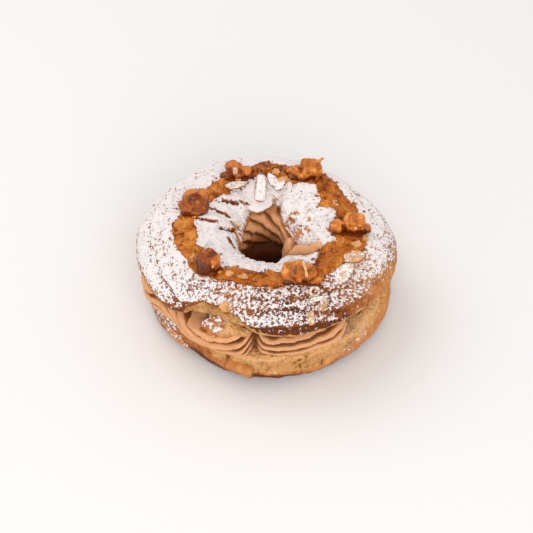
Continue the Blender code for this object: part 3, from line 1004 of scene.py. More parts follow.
def lid_point(azimuth, turn):
    """The lid: a domed crust with a cut underside."""
    outer, hole = around(LID_REACH_MM, azimuth), around(LID_HOLE_MM, azimuth)
    underside = around(LID_UNDERSIDE_MM, azimuth)
    crown = LID_CROWN_MM - LID_LEAN * MID_RADIUS_MM * math.cos(math.radians(azimuth))
    radius, height = section_point(
        turn, outer, hole, underside + LID_BELLY_ABOVE_MM, crown, underside, **LID_ROUNDING
    )
    upper = max(0.0, math.sin(turn))
    height += LID_UNEVENNESS_MM * unevenness(azimuth, turn, 2.6, 17) * upper
    radius += LID_UNEVENNESS_MM * unevenness(azimuth, turn, 2.6, 23) * upper * math.cos(turn)
    return polar(azimuth, radius, height)


typical_lid = functools.partial(section_point, **LID_TYPICAL_MM, **LID_ROUNDING)


def measure_lid_arcs():
    """The arc at each of a fine row of turns from the lid's outer rim over the top and into the hole."""
    steps = 2000
    turns = [LID_RIM_TURN + (math.pi - LID_RIM_TURN) * step / steps for step in range(steps + 1)]
    arcs = [0.0]
    for here, there in zip(turns, turns[1:]):
        arcs.append(arcs[-1] + math.dist(typical_lid(here), typical_lid(there)))
    return turns, arcs


LID_TURNS, LID_ARCS = measure_lid_arcs()


def lid_arc(turn):
    """The arc at a turn. It is negative on the cut underside."""
    if turn < LID_RIM_TURN:
        return -1.0 if turn > -2.2 else LID_ARCS[-1]
    return LID_ARCS[min(bisect.bisect_left(LID_TURNS, turn), len(LID_ARCS) - 1)]


def lid_crumb(azimuth, arc, place):
    """1 where the lid shows crumb, at its cut rim and where that broke away."""
    edge = around(LID_TORN_ARC_MM, azimuth)
    edge += min(1.0, edge / 6) * (1.5 * lumps(place, 4.5, 61) + 0.7 * lumps(place, 1.8, 62))
    return 1 - smooth(-0.35, 0.35, arc - edge)


def shelf_drift(place, fine):
    """How far the shelves' edges wander, in millimetres of arc."""
    return 0.9 * lumps(place, 8, 71) + fine * lumps(place, 2.4, 72)


def lid_shelves(azimuth, arc, place):
    """The lift of the nozzle's shelves: proud above an edge and sunk under it."""
    drift = shelf_drift(place, 0.35)
    lift = 0.0
    for edge, strength in LID_SHELVES:
        above = arc - around(edge, azimuth) + drift
        step = math.tanh(above / SHELF_EDGE_MM)
        lift += around(strength, azimuth) * step * math.exp(-abs(above) / SHELF_FADE_MM)
    return lift


def lid_inside(azimuth, place):
    """1 inside the praline band and 0 under and outside it."""
    radius = math.hypot(place.x - AXIS.x, place.y - AXIS.y) / MM
    return 1 - smooth(-1.0, 2.5, radius - around(BAND_INNER_MM, azimuth))


def lid_slit(place):
    """How deep a place lies in a slit between the sugared flakes."""
    return smooth(0.95, 0.35, from_lines(place, LID_SLITS) + 0.4 * lumps(place, 2.2, 79))


def lid_sheet(place):
    """How far the flake behind a slit stands above the one in front of it."""
    rise = 0.0
    for start, end in LID_SLITS:
        first, last = polar(*start, 0).xy, polar(*end, 0).xy
        if (last - first).cross(place.xy - first) > 0:
            rise = max(rise, smooth(6.0, 0.6, from_line(place, start, end)))
    return rise


def lid_streak(place):
    """How bare a place is in a streak that the sugar missed."""
    return smooth(1.1, 0.3, from_lines(place, LID_STREAKS) + 0.7 * lumps(place, 1.6, 86))


def lid_relief(azimuth, turn, place):
    """The lid's shelves, lumps and cracks, the sheets of crust inside the band, and its torn rim."""
    arc = lid_arc(turn)
    if arc < 0:
        return -0.9 * cells(place, 3.0, 63) + 0.4 * lumps(place, 6, 64)
    crumb = lid_crumb(azimuth, arc, place)
    crust = lid_shelves(azimuth, arc, place) * (1 - smooth(26, 32, arc))
    crust += 0.45 * lumps(place, 11, 73) + 0.28 * lumps(place, 4.2, 74) + 0.2 * grit(place, 1.9, 75, 2)
    crust -= 0.35 * smooth(0.12, 0.0, abs(lumps(place, 5.5, 76)))
    inside = lid_inside(azimuth, place)
    crust *= 1 - 0.55 * inside
    if inside > 0 and place.z > 38 * MM:
        flap = 2.6 * smooth(-80, -66, azimuth) * smooth(-24, -38, azimuth)
        crust += flap * smooth(43, 49, arc) * smooth(64, 57, arc)
        flakes = 1.0 * plates(place, 9.5, 84) + 0.2 * plates(place, 4.0, 85) + 0.8 * lid_sheet(place)
        crust += inside * (flakes - 1.4 * lid_slit(place))
    broken = smooth(7.5, 11, around(LID_TORN_ARC_MM, azimuth))
    torn = 0.3 * lumps(place, 3.5, 77) - broken * (LID_TORN_DEPTH_MM + 0.9 * cells(place, 2.2, 78))
    return crust * (1 - crumb) + torn * crumb


def lid_shelter(azimuth, arc, place):
    """How well the shelves keep the sugar off what is under them."""
    drift = shelf_drift(place, 0.5)
    front = smooth(-125, -105, azimuth) * smooth(-20, -50, azimuth) if azimuth < 0 else 0.0
    shelter = 0.0
    for number, (edge, strength) in enumerate(LID_SHELVES):
        above = arc - around(edge, azimuth) + drift
        fade = 1 if number == 0 else smooth(-4.2, -1.2, above) * (0.35 + 0.65 * front)
        shelter = max(shelter, min(1.0, 1.1 * around(strength, azimuth)) * smooth(0.5, -0.4, above) * fade)
    return shelter


def lid_sugar(azimuth, turn, place, normal):
    """How much of the lid the sugar covers, from 0 to about 1: less on steep crust and none under the lid."""
    arc = lid_arc(turn)
    if arc < 0:
        return 0.0
    inside = lid_inside(azimuth, place)
    patchy = 0.12 * smooth(-30, 0, azimuth) * smooth(90, 60, azimuth)
    cover = around(SUGAR_OUTSIDE, azimuth) * (1 - inside) + (1.0 - patchy) * inside
    cover += 0.10 * lumps(place, 6, 81)
    steep = smooth(-0.05, 0.6, normal.z + 0.06 * lumps(place, 1.5, 82))
    cover *= (0.1 + 0.9 * steep) * (1 - 0.62 * lid_shelter(azimuth, arc, place))
    right_flank = smooth(-62, -48, azimuth) * (1 - smooth(-8, 12, azimuth)) * smooth(18, 10, arc)
    cover *= 1 - 0.62 * right_flank
    if 2.6 < arc < 12 and -100 < azimuth < -40:
        cover = max(cover, 0.2)
    if inside > 0:
        cover *= (1 - lid_slit(place)) * (1 - 0.75 * lid_streak(place))
    return max(0.0, cover) * (1 - 0.8 * lid_crumb(azimuth, arc, place)) * (normal.z > -0.1)


def lid_bake(azimuth, turn, place, normal):
    """How dark the lid's crust is: darker at the front rim, painted shade under shelves and in slits."""
    arc = lid_arc(turn)
    band = smooth(2.0, 4.0, arc) * (1 - smooth(8, 13, arc))
    front = smooth(-102, -92, azimuth) * (1 - smooth(-62, -40, azimuth)) if azimuth < 0 else 0.0
    # Painted shade: darker where the crust sinks under a shelf's edge, and in the slits between flakes.
    under_shelf_shade = max(0.0, -lid_shelves(azimuth, arc, place))
    outside = around(BAKE_OUTSIDE, azimuth) + 0.25 * band * front + 0.25 * under_shelf_shade
    inside = lid_inside(azimuth, place)
    return outside * (1 - inside) + inside * (0.3 + 0.6 * lid_slit(place)) if inside else outside


def lid_pit(azimuth, turn, place, normal):
    """How deep the lid's crumb is pitted, from 0 to about 1, at its rim and underneath; painted as shade."""
    if lid_arc(turn) > 17:
        return 0.0
    return max(0.0, 0.26 + 0.32 * cells(place, 2.2, 78) + 0.3 * lumps(place, 4.5, 70))


def make_lid(material):
    """The cut upper half of the choux ring."""
    turns = even_turns(LID_ROWS, typical_lid, lambda turn: 1.0 if turn > LID_RIM_TURN else 0.4)
    bm = ring(LID_COLUMNS, turns, lid_point)
    carve(bm, lid_relief)
    paint(
        bm,
        crumb=lambda azimuth, turn, place, normal: lid_crumb(azimuth, lid_arc(turn), place),
        bake=lid_bake,
        sugar=lid_sugar,
        pit=lid_pit,
    )
    return add_piece("lid_choux_half", bm, material, ["choux_lid"])


# The eggs that make up the knob: azimuth, radius, height and half sizes.
KNOB_EGGS = (
    (-115.5, 54.0, 31.8, (4.6, 6.2, 4.8)), (-120.0, 54.6, 33.4, (3.2, 3.4, 3.2)),
    (-110.5, 53.4, 32.6, (3.6, 4.4, 3.8)), (-106.5, 52.8, 34.4, (3.4, 4.2, 3.2)),
    (-118.0, 55.0, 30.0, (3.0, 4.2, 2.6)), (-114.5, 52.0, 37.0, (3.4, 6.0, 3.0)),
    (-102.5, 53.6, 34.6, (2.8, 3.6, 2.2)),
)


def make_torn_knob(material):
    """The knob of choux that hangs from the torn rim: crusty at the left, crumb at the right."""
    bm = bmesh.new()
    for azimuth, radius, height, halves in KNOB_EGGS:
        add_ball(bm, polar(azimuth, radius, height) / MM, halves, azimuth)
    bm = fuse(bm, 0.34, 2)
    swell(bm, lambda place: 0.5 * lumps(place, 3.2, 65) + 0.25 * grit(place, 1.4, 66, 2))

    def crumb(place, normal):
        azimuth = math.degrees(math.atan2(place.y - AXIS.y, place.x - AXIS.x))
        return smooth(-112.5, -109.5, azimuth + 3 * lumps(place, 2.5, 67))

    flat_paint(
        bm,
        crumb=crumb,
        # Painted shade: the knob's crust is darker where it faces down, and its crumb darker in its pits.
        bake=lambda place, normal: 0.5 + 0.35 * smooth(0.1, -0.5, normal.z),
        sugar=lambda place, normal: 0.54 * smooth(0.0, 0.7, normal.z) * (1 - 0.8 * crumb(place, normal)),
        pit=lambda place, normal: max(0.0, 0.26 + 0.3 * cells(place, 1.8, 68) + 0.3 * lumps(place, 4.0, 69)),
    )
    return add_piece("lid_torn_knob", bm, material)


# ---- The praline band ----

def make_band(lid_tree, material):
    """The band of praline that lies on the lid, with ragged edges and a grainy top."""

    def point(azimuth, turn):
        along = math.radians(azimuth)
        circle = Vector((math.cos(along), math.sin(along), 0))

        def ragged(seed):
            near = circle * MID_RADIUS_MM * MM
            return lumps(near, 6, seed) + 0.5 * lumps(near, 2.6, seed + 1) + 0.25 * lumps(near, 1.2, seed + 2)

        outer = around(BAND_OUTER_MM, azimuth) + BAND_RAGGED_MM * ragged(91)
        inner = around(BAND_INNER_MM, azimuth) + BAND_RAGGED_MM * ragged(95)
        radius = (outer + inner) / 2 + (outer - inner) / 2 * math.cos(turn)
        place = polar(azimuth, radius, 0)
        hit, _ = drop(lid_tree, place)
        rise = max(0.0, math.sin(turn)) ** 0.4
        thickness = BAND_HEIGHT_MM * (1 + 0.45 * lumps(place, 7, 97)) * rise
        return Vector((place.x, place.y, hit.z + (thickness - BAND_SUNK_MM) * MM))

    turns = [FULL_TURN * row / BAND_ROWS - math.pi for row in range(BAND_ROWS)]
    bm = ring(BAND_COLUMNS, turns, point)

    def grain(azimuth, turn, place):
        top = smooth(0.1, 0.5, math.sin(turn))
        return (0.3 * lumps(place, 3.4, 98) + 0.2 * grit(place, 1.1, 99, 2)) * top

    carve(bm, grain)
    feet = [sum(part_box(node), Vector()) / 2 for node, *_ in NUTS]

    # Painted shadow: the praline is darker close round each nut.
    def dark(azimuth, turn, place, normal):
        nearest = min((place - foot).xy.length for foot in feet) / MM
        left = smooth(115, 150, abs(azimuth))
        back = smooth(60, 85, azimuth) * smooth(120, 100, azimuth)
        edge = smooth(0.5, 0.0, math.sin(turn))
        return 0.5 * smooth(9.0, 5.5, nearest) - 0.22 * left + 0.22 * back + 0.45 * edge

    paint(bm, dark=dark)
    return add_piece("praline_paste", bm, material, ["praline_band"])


# ---- The candied nuts ----

# Each nut's CAD node, its shapes (middle, half sizes, heading, lean, power), how rough its caramel is, how
# deep its grooves are and how many of them there are in every three millimetres. Sizes are in millimetres
# from the middle of the node's box.
NUTS = (
    ("nut_left", (
        ((0.2, 0, 0.2), (5.9, 5.6, 4.8), 0, 0, 2.3), ((0.5, -0.8, -3.0), (7.0, 6.4, 2.6), 0, 0, 2.5),
        ((-5.2, -1.2, -1.6), (2.4, 2.4, 2.0), 0, 0, 2), ((4.8, 1.6, -0.6), (2.8, 2.6, 2.6), 0, 0, 3),
        ((-2.0, -4.6, -1.6), (3.0, 2.2, 2.0), 0, 0, 2), ((4.2, 2.0, 2.6), (2.4, 2.6, 2.0), 30, 0, 3),
    ), 0.11, 0.0, 1),
    ("nut_back_left", (
        ((-1.8, 0.6, 0.2), (3.4, 3.6, 3.4), 20, -18, 3), ((4.8, -1.0, -0.8), (2.8, 2.9, 2.6), 0, 0, 3),
        ((-5.2, -2.0, -2.4), (2.8, 2.6, 1.6), 0, 0, 2), ((0.8, 1.6, 0.4), (2.4, 2.2, 2.2), 0, 0, 2),
        ((1.4, -2.8, -1.4), (2.6, 2.0, 1.8), 0, 0, 3),
    ), 0.2, 0.0, 1),
    ("nut_back_right", (
        ((3.6, -1.0, -1.0), (4.8, 4.6, 3.9), 12, -8, 4), ((-3.4, -1.8, -2.2), (3.4, 3.4, 2.6), 30, 0, 4),
        ((-7.0, -0.4, -2.6), (2.4, 2.4, 1.9), 0, 0, 3), ((7.0, -2.0, -1.6), (2.4, 3.0, 3.6), 0, 0, 4),
        ((5.6, 0.0, 2.0), (3.0, 1.8, 1.5), 0, -24, 3), ((8.4, 0.6, 4.0), (2.3, 0.8, 0.75), 0, -42, 2),
        ((1.6, 0.6, 2.2), (3.0, 2.4, 1.3), 0, 0, 3), ((-5.4, -4.4, -2.8), (2.4, 1.8, 1.8), 0, 0, 2.5),
        ((-1.2, -5.0, -2.4), (2.0, 1.6, 2.0), 0, 0, 3), ((-3.6, -1.6, 0.6), (1.6, 1.5, 1.0), 0, 0, 2),
    ), 0.2, 0.1, 2),
    ("nut_right", (
        ((2.4, -0.8, -1.0), (4.8, 4.2, 4.4), -4, 0, 6), ((-6.0, -1.6, -2.2), (3.6, 3.8, 2.9), 20, 0, 2.6),
        ((8.0, -2.0, -2.6), (1.9, 2.4, 1.9), 10, 0, 3), ((1.2, 2.2, -1.8), (4.2, 2.6, 2.6), 0, 0, 3),
    ), 0.2, 0.34, 0.85),
    ("nut_front", (
        ((-2.8, -0.6, -1.0), (4.8, 4.8, 4.3), -10, -15, 5), ((1.6, -0.4, 0.4), (1.6, 4.3, 4.7), 14, -4, 4),
        ((4.4, -0.8, -1.0), (2.7, 4.0, 3.8), 20, 16, 4), ((7.8, -3.0, -3.2), (2.6, 2.6, 2.0), 0, 0, 2.5),
        ((-5.4, -3.8, -3.0), (2.2, 2.2, 2.0), 0, 0, 2.5), ((5.2, -3.6, -3.4), (2.4, 2.2, 1.7), 0, 0, 2.5),
    ), 0.16, 0.16, 3),
    ("nut_front_left", (
        ((0.2, -0.4, 0.1), (4.6, 4.3, 4.3), 38, 0, 6), ((2.6, -2.0, 0.2), (2.8, 2.6, 3.4), 20, 10, 5),
        ((-3.0, 0.8, -0.6), (2.9, 3.2, 3.2), 0, 0, 3), ((0.6, 2.4, 1.2), (2.9, 2.2, 2.5), 0, 0, 3),
        ((-2.2, -3.6, -1.8), (2.2, 2.0, 1.8), 0, 0, 2.5),
    ), 0.18, 0.16, 2),
)

# Spots where a nut's caramel is painted darker, or with a minus sign lighter: the nut's CAD node, the place
# from the middle of its box, the reach in millimetres and how much. The lighter spots are painted highlights;
# the darker ones are partly painted shade in pits, gaps and low down, and partly the caramel's darker tone.
NUT_TONE_SHADE_HIGHLIGHT = (
    ("nut_left", (0.6, -2.4, 4.0), 4.2, 0.75), ("nut_left", (-2.4, 2.8, 3.2), 5.4, -1.0),
    ("nut_left", (4.6, 1.6, 3.6), 4.4, -0.6), ("nut_back_left", (-3.4, -3.0, 2.2), 2.4, 0.8),
    ("nut_back_left", (3.0, -3.0, -0.6), 2.6, 0.6), ("nut_back_left", (5.4, -2.8, 0.8), 2.2, -0.5),
    ("nut_back_right", (-4.0, -3.4, -2.0), 4.0, 0.6), ("nut_back_right", (4.0, -5.4, -3.0), 3.4, 0.5),
    ("nut_back_right", (0.2, -3.0, 0.0), 3.0, 0.6), ("nut_back_right", (1.0, -2.0, 0.0), 14.0, 0.22),
    ("nut_right", (-2.6, -3.4, -1.0), 2.6, 0.9), ("nut_right", (2.2, -4.0, -1.6), 4.0, 0.2),
    ("nut_front", (0.0, -1.0, 0.0), 12.0, 0.12), ("nut_front", (-5.2, -4.8, -2.6), 3.2, 0.6),
    ("nut_front", (6.0, -2.0, 0.4), 4.4, 0.35), ("nut_front", (4.0, -4.4, -3.8), 2.8, 0.6),
    ("nut_front_left", (-2.6, -3.4, 0.6), 7.0, 1.05), ("nut_front_left", (2.4, 0.0, 3.4), 4.6, 0.3),
    ("nut_front_left", (2.4, -4.6, 2.6), 2.0, -0.5),
)


def make_nut(node, shapes, roughness, grooves, fineness, material, seed):
    """A candied nut: eggs and blocks fused into one lump, which its caramel makes rough and grooved."""
    low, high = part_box(node)
    middle = (low + high) / 2 / MM
    bm = bmesh.new()
    for place, halves, heading, lean, power in shapes:
        add_ball(bm, middle + Vector(place), halves, heading, lean, power)
    bm = fuse(bm, 0.26, 1)

    def facets(place):
        sideways = Vector((place.z, place.x, place.y))
        return 0.9 * plates(place, 3.4, seed + 4) + 0.5 * plates(sideways, 3.0, seed + 5)

    def groove(place):
        phase = FULL_TURN / 3 * fineness * place.x / MM + 1.3 * lumps(place, 4, seed)
        return (1 - abs(math.sin(phase / 2))) ** 2

    def relief(place):
        rough = 0.7 * lumps(place, 2.6, seed + 1) + 0.3 * grit(place, 1.1, seed + 2, 2) + facets(place)
        return roughness * rough - grooves * groove(place)

    swell(bm, relief)
    for vert in bm.verts:
        vert.co.z = min(vert.co.z, high.z + 0.6 * MM)

    # Painted shade: darker facing down, low down and in crevices; the listed spots add shade and highlights.
    def dark(place, normal):
        foot_shade = smooth(low.z + 4.5 * MM, low.z + 0.5 * MM, place.z)
        crevice_shade = smooth(0.1, -0.35, facets(place)) + 1.6 * grooves * groove(place)
        shade = 0.0
        for owner, at, reach, amount in NUT_TONE_SHADE_HIGHLIGHT:
            if owner == node:
                away = (place / MM - middle - Vector(at)).length
                shade += amount * smooth(reach, 0.4 * reach, away)
        return 0.5 * smooth(0.2, -0.5, normal.z) + 0.9 * foot_shade + 0.35 * crevice_shade + shade - 0.25

    flat_paint(bm, dark=dark)
    return add_piece("candied_" + node, bm, material, [node])


# Each nut's noises start from a seed of its own.
NUT_SEED = 111
NUT_SEED_STEP = 7


def make_nuts():
    """All six nuts. The caramel of the left ones is browner."""
    amber = candied_material("caramel_amber", AMBER_COLOURS)
    brown = candied_material("caramel_brown", BROWN_COLOURS)
    for number, (node, *build) in enumerate(NUTS):
        material = brown if node.endswith("left") else amber
        make_nut(node, *build, material, NUT_SEED + NUT_SEED_STEP * number)


# Slivers of almond set in the nuts' caramel: the nut's CAD node, the place from the middle of its box,
# three sizes, heading, lean and how much sugar covers them.
SLIVERS = (
    ("nut_front", (2.2, -1.2, 4.5), (1.3, 6.6, 1.0), 14, 0, 0.0),
    ("nut_front", (3.2, -4.5, 2.4), (1.5, 0.9, 4.6), 0, -6, 0.0),
    ("nut_right", (2.4, -4.9, 0.4), (1.4, 1.2, 2.0), 20, 0, 0.0),
    ("nut_back_left", (-0.4, -3.0, 1.6), (2.5, 2.0, 4.4), 0, 0, 0.5),
    ("nut_front_left", (2.4, -4.6, 0.8), (1.2, 0.8, 1.8), 30, 10, 0.3),
)


def make_slivers(material):
    """The slivers of almond on the nuts."""
    whole = bmesh.new()
    layer = whole.verts.layers.float.new("sugar")
    for node, place, sizes, heading, lean, cover in SLIVERS:
        middle = sum(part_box(node), Vector()) / 2 / MM
        before = len(whole.verts)
        add_ball(whole, middle + Vector(place), [size / 2 for size in sizes], heading, lean, 2.6)
        whole.verts.ensure_lookup_table()
        for vert in whole.verts[before:]:
            vert[layer] = cover
    swell(whole, lambda place: 0.12 * lumps(place, 1.5, 191))
    flat_paint(whole, skin=0.0, toast=0.0)
    return add_piece("nut_slivers", whole, material)


# ---- Flaked almonds ----

# Flakes laid one by one: azimuth, radius, length, width, thickness, heading, pitch, roll, lift, taper, and
# how much of the top the sugar covers.
FLAKES = (
    (121.5, 30.0, 11.5, 5.6, 1.0, 22, 4, -12, 1.5, 0.22, 0.66),
    (86.0, 31.0, 8.5, 5.0, 0.9, 120, 4, 10, 1.0, 0.35, 0.82),
    (78.0, 29.0, 7.5, 5.0, 0.9, 60, 2, -10, 0.9, 0.3, 0.86),
    (100.5, 22.6, 15.0, 11.0, 1.2, 32, 1, -3, 0.1, 0.1, 1.1),
    (172.0, 15.8, 9.0, 4.2, 0.8, 12, -36, -24, 0.5, 0.3, 0.4),
    (-172.0, 14.8, 8.0, 3.0, 0.8, -34, -12, -30, 0.4, 0.3, 0.1),
    (161.0, 16.0, 6.0, 4.2, 0.8, 70, -30, 20, 0.4, 0.3, 0.5),
    (-41.4, 45.2, 15.4, 9.0, 1.0, 43, 5, -8, 1.0, 0.18, 0.64),
    (-26.5, 44.6, 11.0, 8.6, 1.0, 12, 5, -7, 1.4, 0.05, 0.42),
    (-63.0, 50.0, 10.0, 2.6, 0.9, 22, 4, -10, 0.9, 0.3, 0.78),
    (33.0, 50.0, 7.5, 2.2, 0.8, 130, 3, 12, 0.4, 0.2, 0.8),
)

# Nibs of almond: azimuth, radius, their three sizes, heading, pitch, lift and how much sugar covers them.
NIBS = (
    (-111.6, 51.6, (4.2, 3.6, 4.2), 65, 20, 1.6, 0.2),
    (-62.4, 53.6, (6.0, 2.8, 1.8), 68, 8, 1.8, 0.5),
    (-69.8, 56.8, (6.0, 2.4, 1.5), 98, 10, 1.6, 0.5),
    (98.5, 26.8, (13.0, 4.6, 2.2), -90, -4, 2.9, 0.88),
    (76.0, 32.0, (5.4, 3.0, 1.5), 10, 0, 1.6, 0.1),
    (-118.0, 37.2, (3.2, 2.4, 1.8), 30, 0, 1.6, 0.2),
    (-109.0, 36.2, (4.6, 2.2, 1.6), 0, 0, 1.6, 0.2),
    (-16.0, 43.2, (4.2, 3.2, 2.2), 20, 0, 1.8, 0.3),
    (-9.0, 46.2, (3.4, 2.6, 2.2), 70, 0, 1.8, 0.3),
    (84.0, 36.4, (3.4, 2.4, 1.8), 10, 0, 1.6, 0.2),
    (115.0, 34.2, (3.0, 2.2, 1.8), 60, 0, 1.8, 0.2),
    (-148.0, 41.0, (2.2, 1.8, 1.6), 40, 0, 1.5, 0.2),
    (26.0, 36.0, (3.4, 3.0, 2.0), 100, 0, 1.4, 0.2),
)


def make_flakes(lid_tree, material):
    """The flaked almonds, with sugar on their tops and less of it at their rims."""
    whole = bmesh.new()
    for number, spec in enumerate(FLAKES):
        azimuth, radius, length, width, thickness, heading, pitch, roll, lift, taper, cover = spec
        bm = flake(length, width, thickness, 131 + 3 * number, taper, curl=0.12)
        lay(bm, lid_tree, azimuth, radius, heading, pitch, roll, lift)
        rim = bm.verts.layers.float["skin"]
        layer, toast = (bm.verts.layers.float.new(name) for name in ("sugar", "toast"))
        for vert in bm.verts:
            vert[layer] = cover * smooth(0.0, 0.45, vert.normal.z) * (1 - max(0.0, 1.1 - cover) * vert[rim])
            vert[toast] = 0.5 if cover < 0.5 else 0.0
        join(whole, bm)
    return add_piece("flaked_almonds", whole, material)


def make_shard(material):
    """A rolled almond flake that leans on the base at its front left."""
    bm = flake(13.8, 6.4, 0.9, 201, taper=0.02, ragged=0.05, power=7.0)
    roll = 3.2
    for vert in bm.verts:
        x, y, z = vert.co / MM
        reach = roll + z
        vert.co = Vector((x, reach * math.sin(y / roll), reach * math.cos(y / roll) - roll)) * MM
    lie = Matrix.Rotation(math.radians(-22), 4, "Z") @ Matrix.Rotation(math.radians(14), 4, "Y")
    lean = Matrix.Rotation(math.radians(42), 4, "X")
    bm.transform(Matrix.Translation(polar(-103.8, 55.8, 11.2)) @ lie @ lean)
    bm.normal_update()
    flat_paint(bm, sugar=0.0, toast=lambda place, normal: 0.6 + 0.6 * lumps(place, 3, 195))
    return add_piece("almond_shard", bm, material)


def make_nibs(lid_tree, material):
    """The almond nibs and a small ring of almond, with sugar on their tops."""
    whole = bmesh.new()

    def add(bm, cover):
        flat_paint(bm, sugar=lambda place, normal: cover * smooth(0.2, 0.7, normal.z))
        join(whole, bm)

    for number, (azimuth, radius, sizes, heading, pitch, lift, cover) in enumerate(NIBS):
        bm = bmesh.new()
        bmesh.ops.create_cube(bm, size=1)
        bmesh.ops.bevel(
            bm, geom=bm.edges[:], offset=0.16, segments=2, affect="EDGES", profile=0.5, material=-1
        )
        bmesh.ops.subdivide_edges(bm, edges=bm.edges[:], cuts=2, use_grid_fill=True)
        for vert in bm.verts:
            swirl = nudge(vert.co * 2.1 + Vector((number * 3.3, 0, 0)))
            vert.co = Vector(size * at + 0.9 * push for size, at, push in zip(sizes, vert.co, swirl)) * MM
        lay(bm, lid_tree, azimuth, radius, heading, pitch, 0, lift - 1.0)
        add(bm, cover)

    def ring_point(azimuth, turn):
        section = Vector((2.0 + 0.75 * math.cos(turn), 0, 0.6 * math.sin(turn)))
        return Matrix.Rotation(math.radians(azimuth), 3, "Z") @ section * MM

    bm = ring(30, [FULL_TURN * row / 12 for row in range(12)], ring_point)
    lay(bm, lid_tree, -63.1, 46.4, 0, 0, 0, 0.5)
    add(bm, 0.62)
    flat_paint(whole, skin=0.0, toast=0.0)
    return add_piece("almond_nibs", whole, material)


# ---- Crumbs ----

def scatter(count, seed, pick, tree, sizes, sink, flat=0.7):
    """Small lumps dropped on a surface at the places pick(rng) gives as (azimuth, radius)."""
    rng = random.Random(seed)
    bm = bmesh.new()
    for _ in range(count):
        azimuth, radius = pick(rng)
        hit, normal = drop(tree, polar(azimuth, radius, 0))
        if hit is None:
            continue
        half = rng.uniform(*sizes) / 2
        made = bmesh.ops.create_icosphere(bm, subdivisions=1 if half < 0.5 else 2, radius=half * MM)
        shift = Vector((rng.uniform(0, 90), 0, 0))
        turn = UP.rotation_difference(normal) @ Quaternion(UP, rng.uniform(0, FULL_TURN))
        stretch = Vector((rng.uniform(0.8, 1.3), rng.uniform(0.7, 1.0), flat))
        for vert in made["verts"]:
            rough = 1 + 0.5 * noise.noise(vert.co * (1.3 / (half * MM)) + shift)
            vert.co = hit + normal * (half * (flat - sink)) * MM + turn @ (vert.co * stretch * rough)
    bm.normal_update()
    return bm


# The torn bits of crust: azimuth, radius, height and half sizes.
DEBRIS = (
    (-143.0, 55.8, 10.6, (1.7, 2.8, 1.6)), (-146.5, 56.4, 12.0, (1.3, 2.0, 1.2)),
    (-139.5, 54.8, 9.0, (1.5, 2.4, 1.4)), (-150.0, 57.0, 13.2, (1.1, 1.5, 1.0)),
    (-136.0, 54.2, 7.4, (1.1, 1.8, 1.0)),
)


def make_debris(choux):
    """Torn bits of the base's crust, at its left."""
    bm = bmesh.new()
    for azimuth, radius, height, halves in DEBRIS:
        add_ball(bm, polar(azimuth, radius, height) / MM, halves, azimuth, 20, 3)
    bm = fuse(bm, 0.3, 1)
    swell(bm, lambda place: 0.35 * lumps(place, 2.0, 194))
    flat_paint(
        bm, crumb=0.0, bake=0.22, pit=0.0, sugar=lambda place, normal: 0.5 * smooth(0.1, 0.7, normal.z)
    )
    return add_piece("crust_debris", bm, choux)


def make_crumbs(lid_tree, choux, praline):
    """Crumbs and grains of praline, clumps of sugar, and crumbs of crust at the back left of the lid."""

    def round_band(rng):
        azimuth = rng.uniform(-180, 180)
        edge = rng.choice((BAND_OUTER_MM, BAND_INNER_MM))
        out = 1 if edge is BAND_OUTER_MM else -1
        return azimuth, around(edge, azimuth) + out * (abs(rng.gauss(0, 1.3)) - 0.9)

    bm = scatter(420, 301, round_band, lid_tree, (0.5, 1.5), 0.2)
    flat_paint(bm, dark=lambda place, normal: 0.8 * lumps(place, 3, 192))
    add_piece("praline_crumbs", bm, praline)

    def over_band(rng):
        azimuth = rng.uniform(-180, 180)
        return azimuth, rng.uniform(around(BAND_INNER_MM, azimuth) + 1, around(BAND_OUTER_MM, azimuth) - 1)

    bm = scatter(240, 302, over_band, lid_tree, (1.0, 2.2), -0.35, 0.6)
    flat_paint(bm, dark=lambda place, normal: 0.8 * lumps(place, 3, 193))
    add_piece("praline_grains", bm, praline)

    def inside_band(rng):
        azimuth = rng.uniform(-180, 180)
        hole = around(LID_HOLE_MM, azimuth)
        return azimuth, hole + 2 + (around(BAND_INNER_MM, azimuth) - hole - 2) * rng.random()

    bm = scatter(520, 303, inside_band, lid_tree, (0.5, 1.6), 0.25, 0.55)
    add_piece("sugar_clumps", bm, sugar_material())

    def outside_band(rng):
        azimuth = rng.uniform(105, 245)
        return azimuth, rng.uniform(around(BAND_OUTER_MM, azimuth) + 2, around(LID_REACH_MM, azimuth) - 3)

    bm = scatter(300, 304, outside_band, lid_tree, (0.4, 1.1), 0.25, 0.5)
    flat_paint(bm, crumb=0.0, bake=0.5, sugar=0.5, pit=0.0)
    add_piece("choux_crumbs", bm, choux)


# ---- Light, floor and camera ----

FLOOR_HALF = 1.5
SKY_COLOUR = (1.0, 0.993, 0.986, 1)
SKY_STRENGTH = 0.75
LIGHT_COLOUR = (1.0, 0.99, 0.975)
LIGHT_AIM = Vector((0, 0, 0.02))
# Round lights: name, place, width and watts.
LIGHTS = (
    ("window", (-0.6, 0.35, 1.0), 1.0, 4.2),
    ("fill", (0.15, -1.1, 0.8), 1.1, 9.2),
)


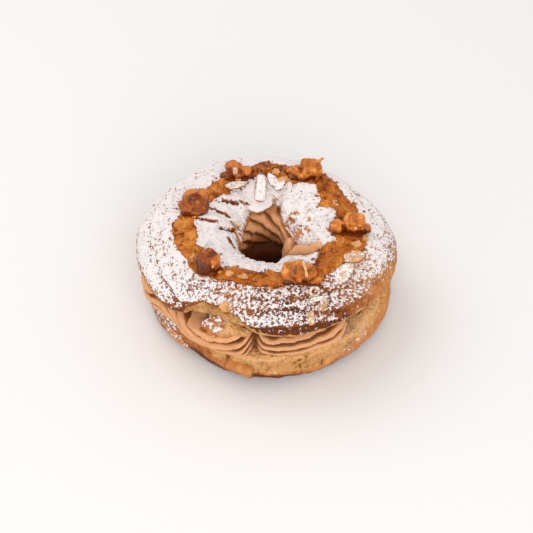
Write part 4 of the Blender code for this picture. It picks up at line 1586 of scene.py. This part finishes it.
def make_stage():
    """The floor, the sky and the lights."""
    bm = bmesh.new()
    bmesh.ops.create_grid(bm, x_segments=8, y_segments=8, size=FLOOR_HALF)
    mesh = to_mesh("floor", bm)
    mesh.materials.append(floor_material())
    add_object("floor", mesh)

    world = bpy.data.worlds.new("studio")
    world.use_nodes = True
    sky = world.node_tree.nodes["Background"]
    sky.inputs["Color"].default_value = SKY_COLOUR
    sky.inputs["Strength"].default_value = SKY_STRENGTH
    bpy.context.scene.world = world

    for name, place, width, watts in LIGHTS:
        light = bpy.data.lights.new(name, "AREA")
        light.shape = "DISK"
        light.size = width
        light.energy = watts
        light.color = LIGHT_COLOUR
        lamp = add_object(name, light)
        lamp.location = place
        lamp.rotation_euler = (LIGHT_AIM - Vector(place)).to_track_quat("-Z", "Y").to_euler()
    bpy.context.scene.view_settings.view_transform = "Standard"


# Where the camera looks, how far away it stands, how steeply it looks down and how wide it sees.
CAMERA_AIM = Vector((-0.1, 0.8, 22.3)) * MM
CAMERA_DISTANCE = 0.75
CAMERA_ELEVATION = math.radians(46.8)
CAMERA_FIELD = 2 * math.atan(0.1725)


def make_camera():
    """The camera, in front of the pastry and above it."""
    camera = bpy.data.cameras.new("camera")
    camera.angle = CAMERA_FIELD
    camera.clip_start = 0.01
    holder = add_object("camera", camera)
    back = Vector((0, -math.cos(CAMERA_ELEVATION), math.sin(CAMERA_ELEVATION)))
    holder.location = CAMERA_AIM + back * CAMERA_DISTANCE
    holder.rotation_euler = (-back).to_track_quat("-Z", "Y").to_euler()
    bpy.context.scene.camera = holder


def main():
    """The stage, then the pastry from the base up."""
    make_camera()
    make_stage()
    base_finish = choux_material("base_choux")
    make_base(base_finish)
    make_debris(base_finish)
    cream_finish = cream_material()
    make_cream(cream_finish)
    make_cream_smears(cream_finish)
    lid_finish = choux_material("lid_choux")
    lid = make_lid(lid_finish)
    make_torn_knob(lid_finish)
    lid_tree = surface_tree(lid)
    praline = praline_material()
    make_band(lid_tree, praline)
    make_nuts()
    pale = almond_material("almond", *PALE_ALMOND)
    make_flakes(lid_tree, pale)
    toasted = almond_material("toasted_almond", *TOASTED_ALMOND)
    make_nibs(lid_tree, toasted)
    make_slivers(pale)
    make_shard(toasted)
    make_crumbs(lid_tree, lid_finish, praline)


main()
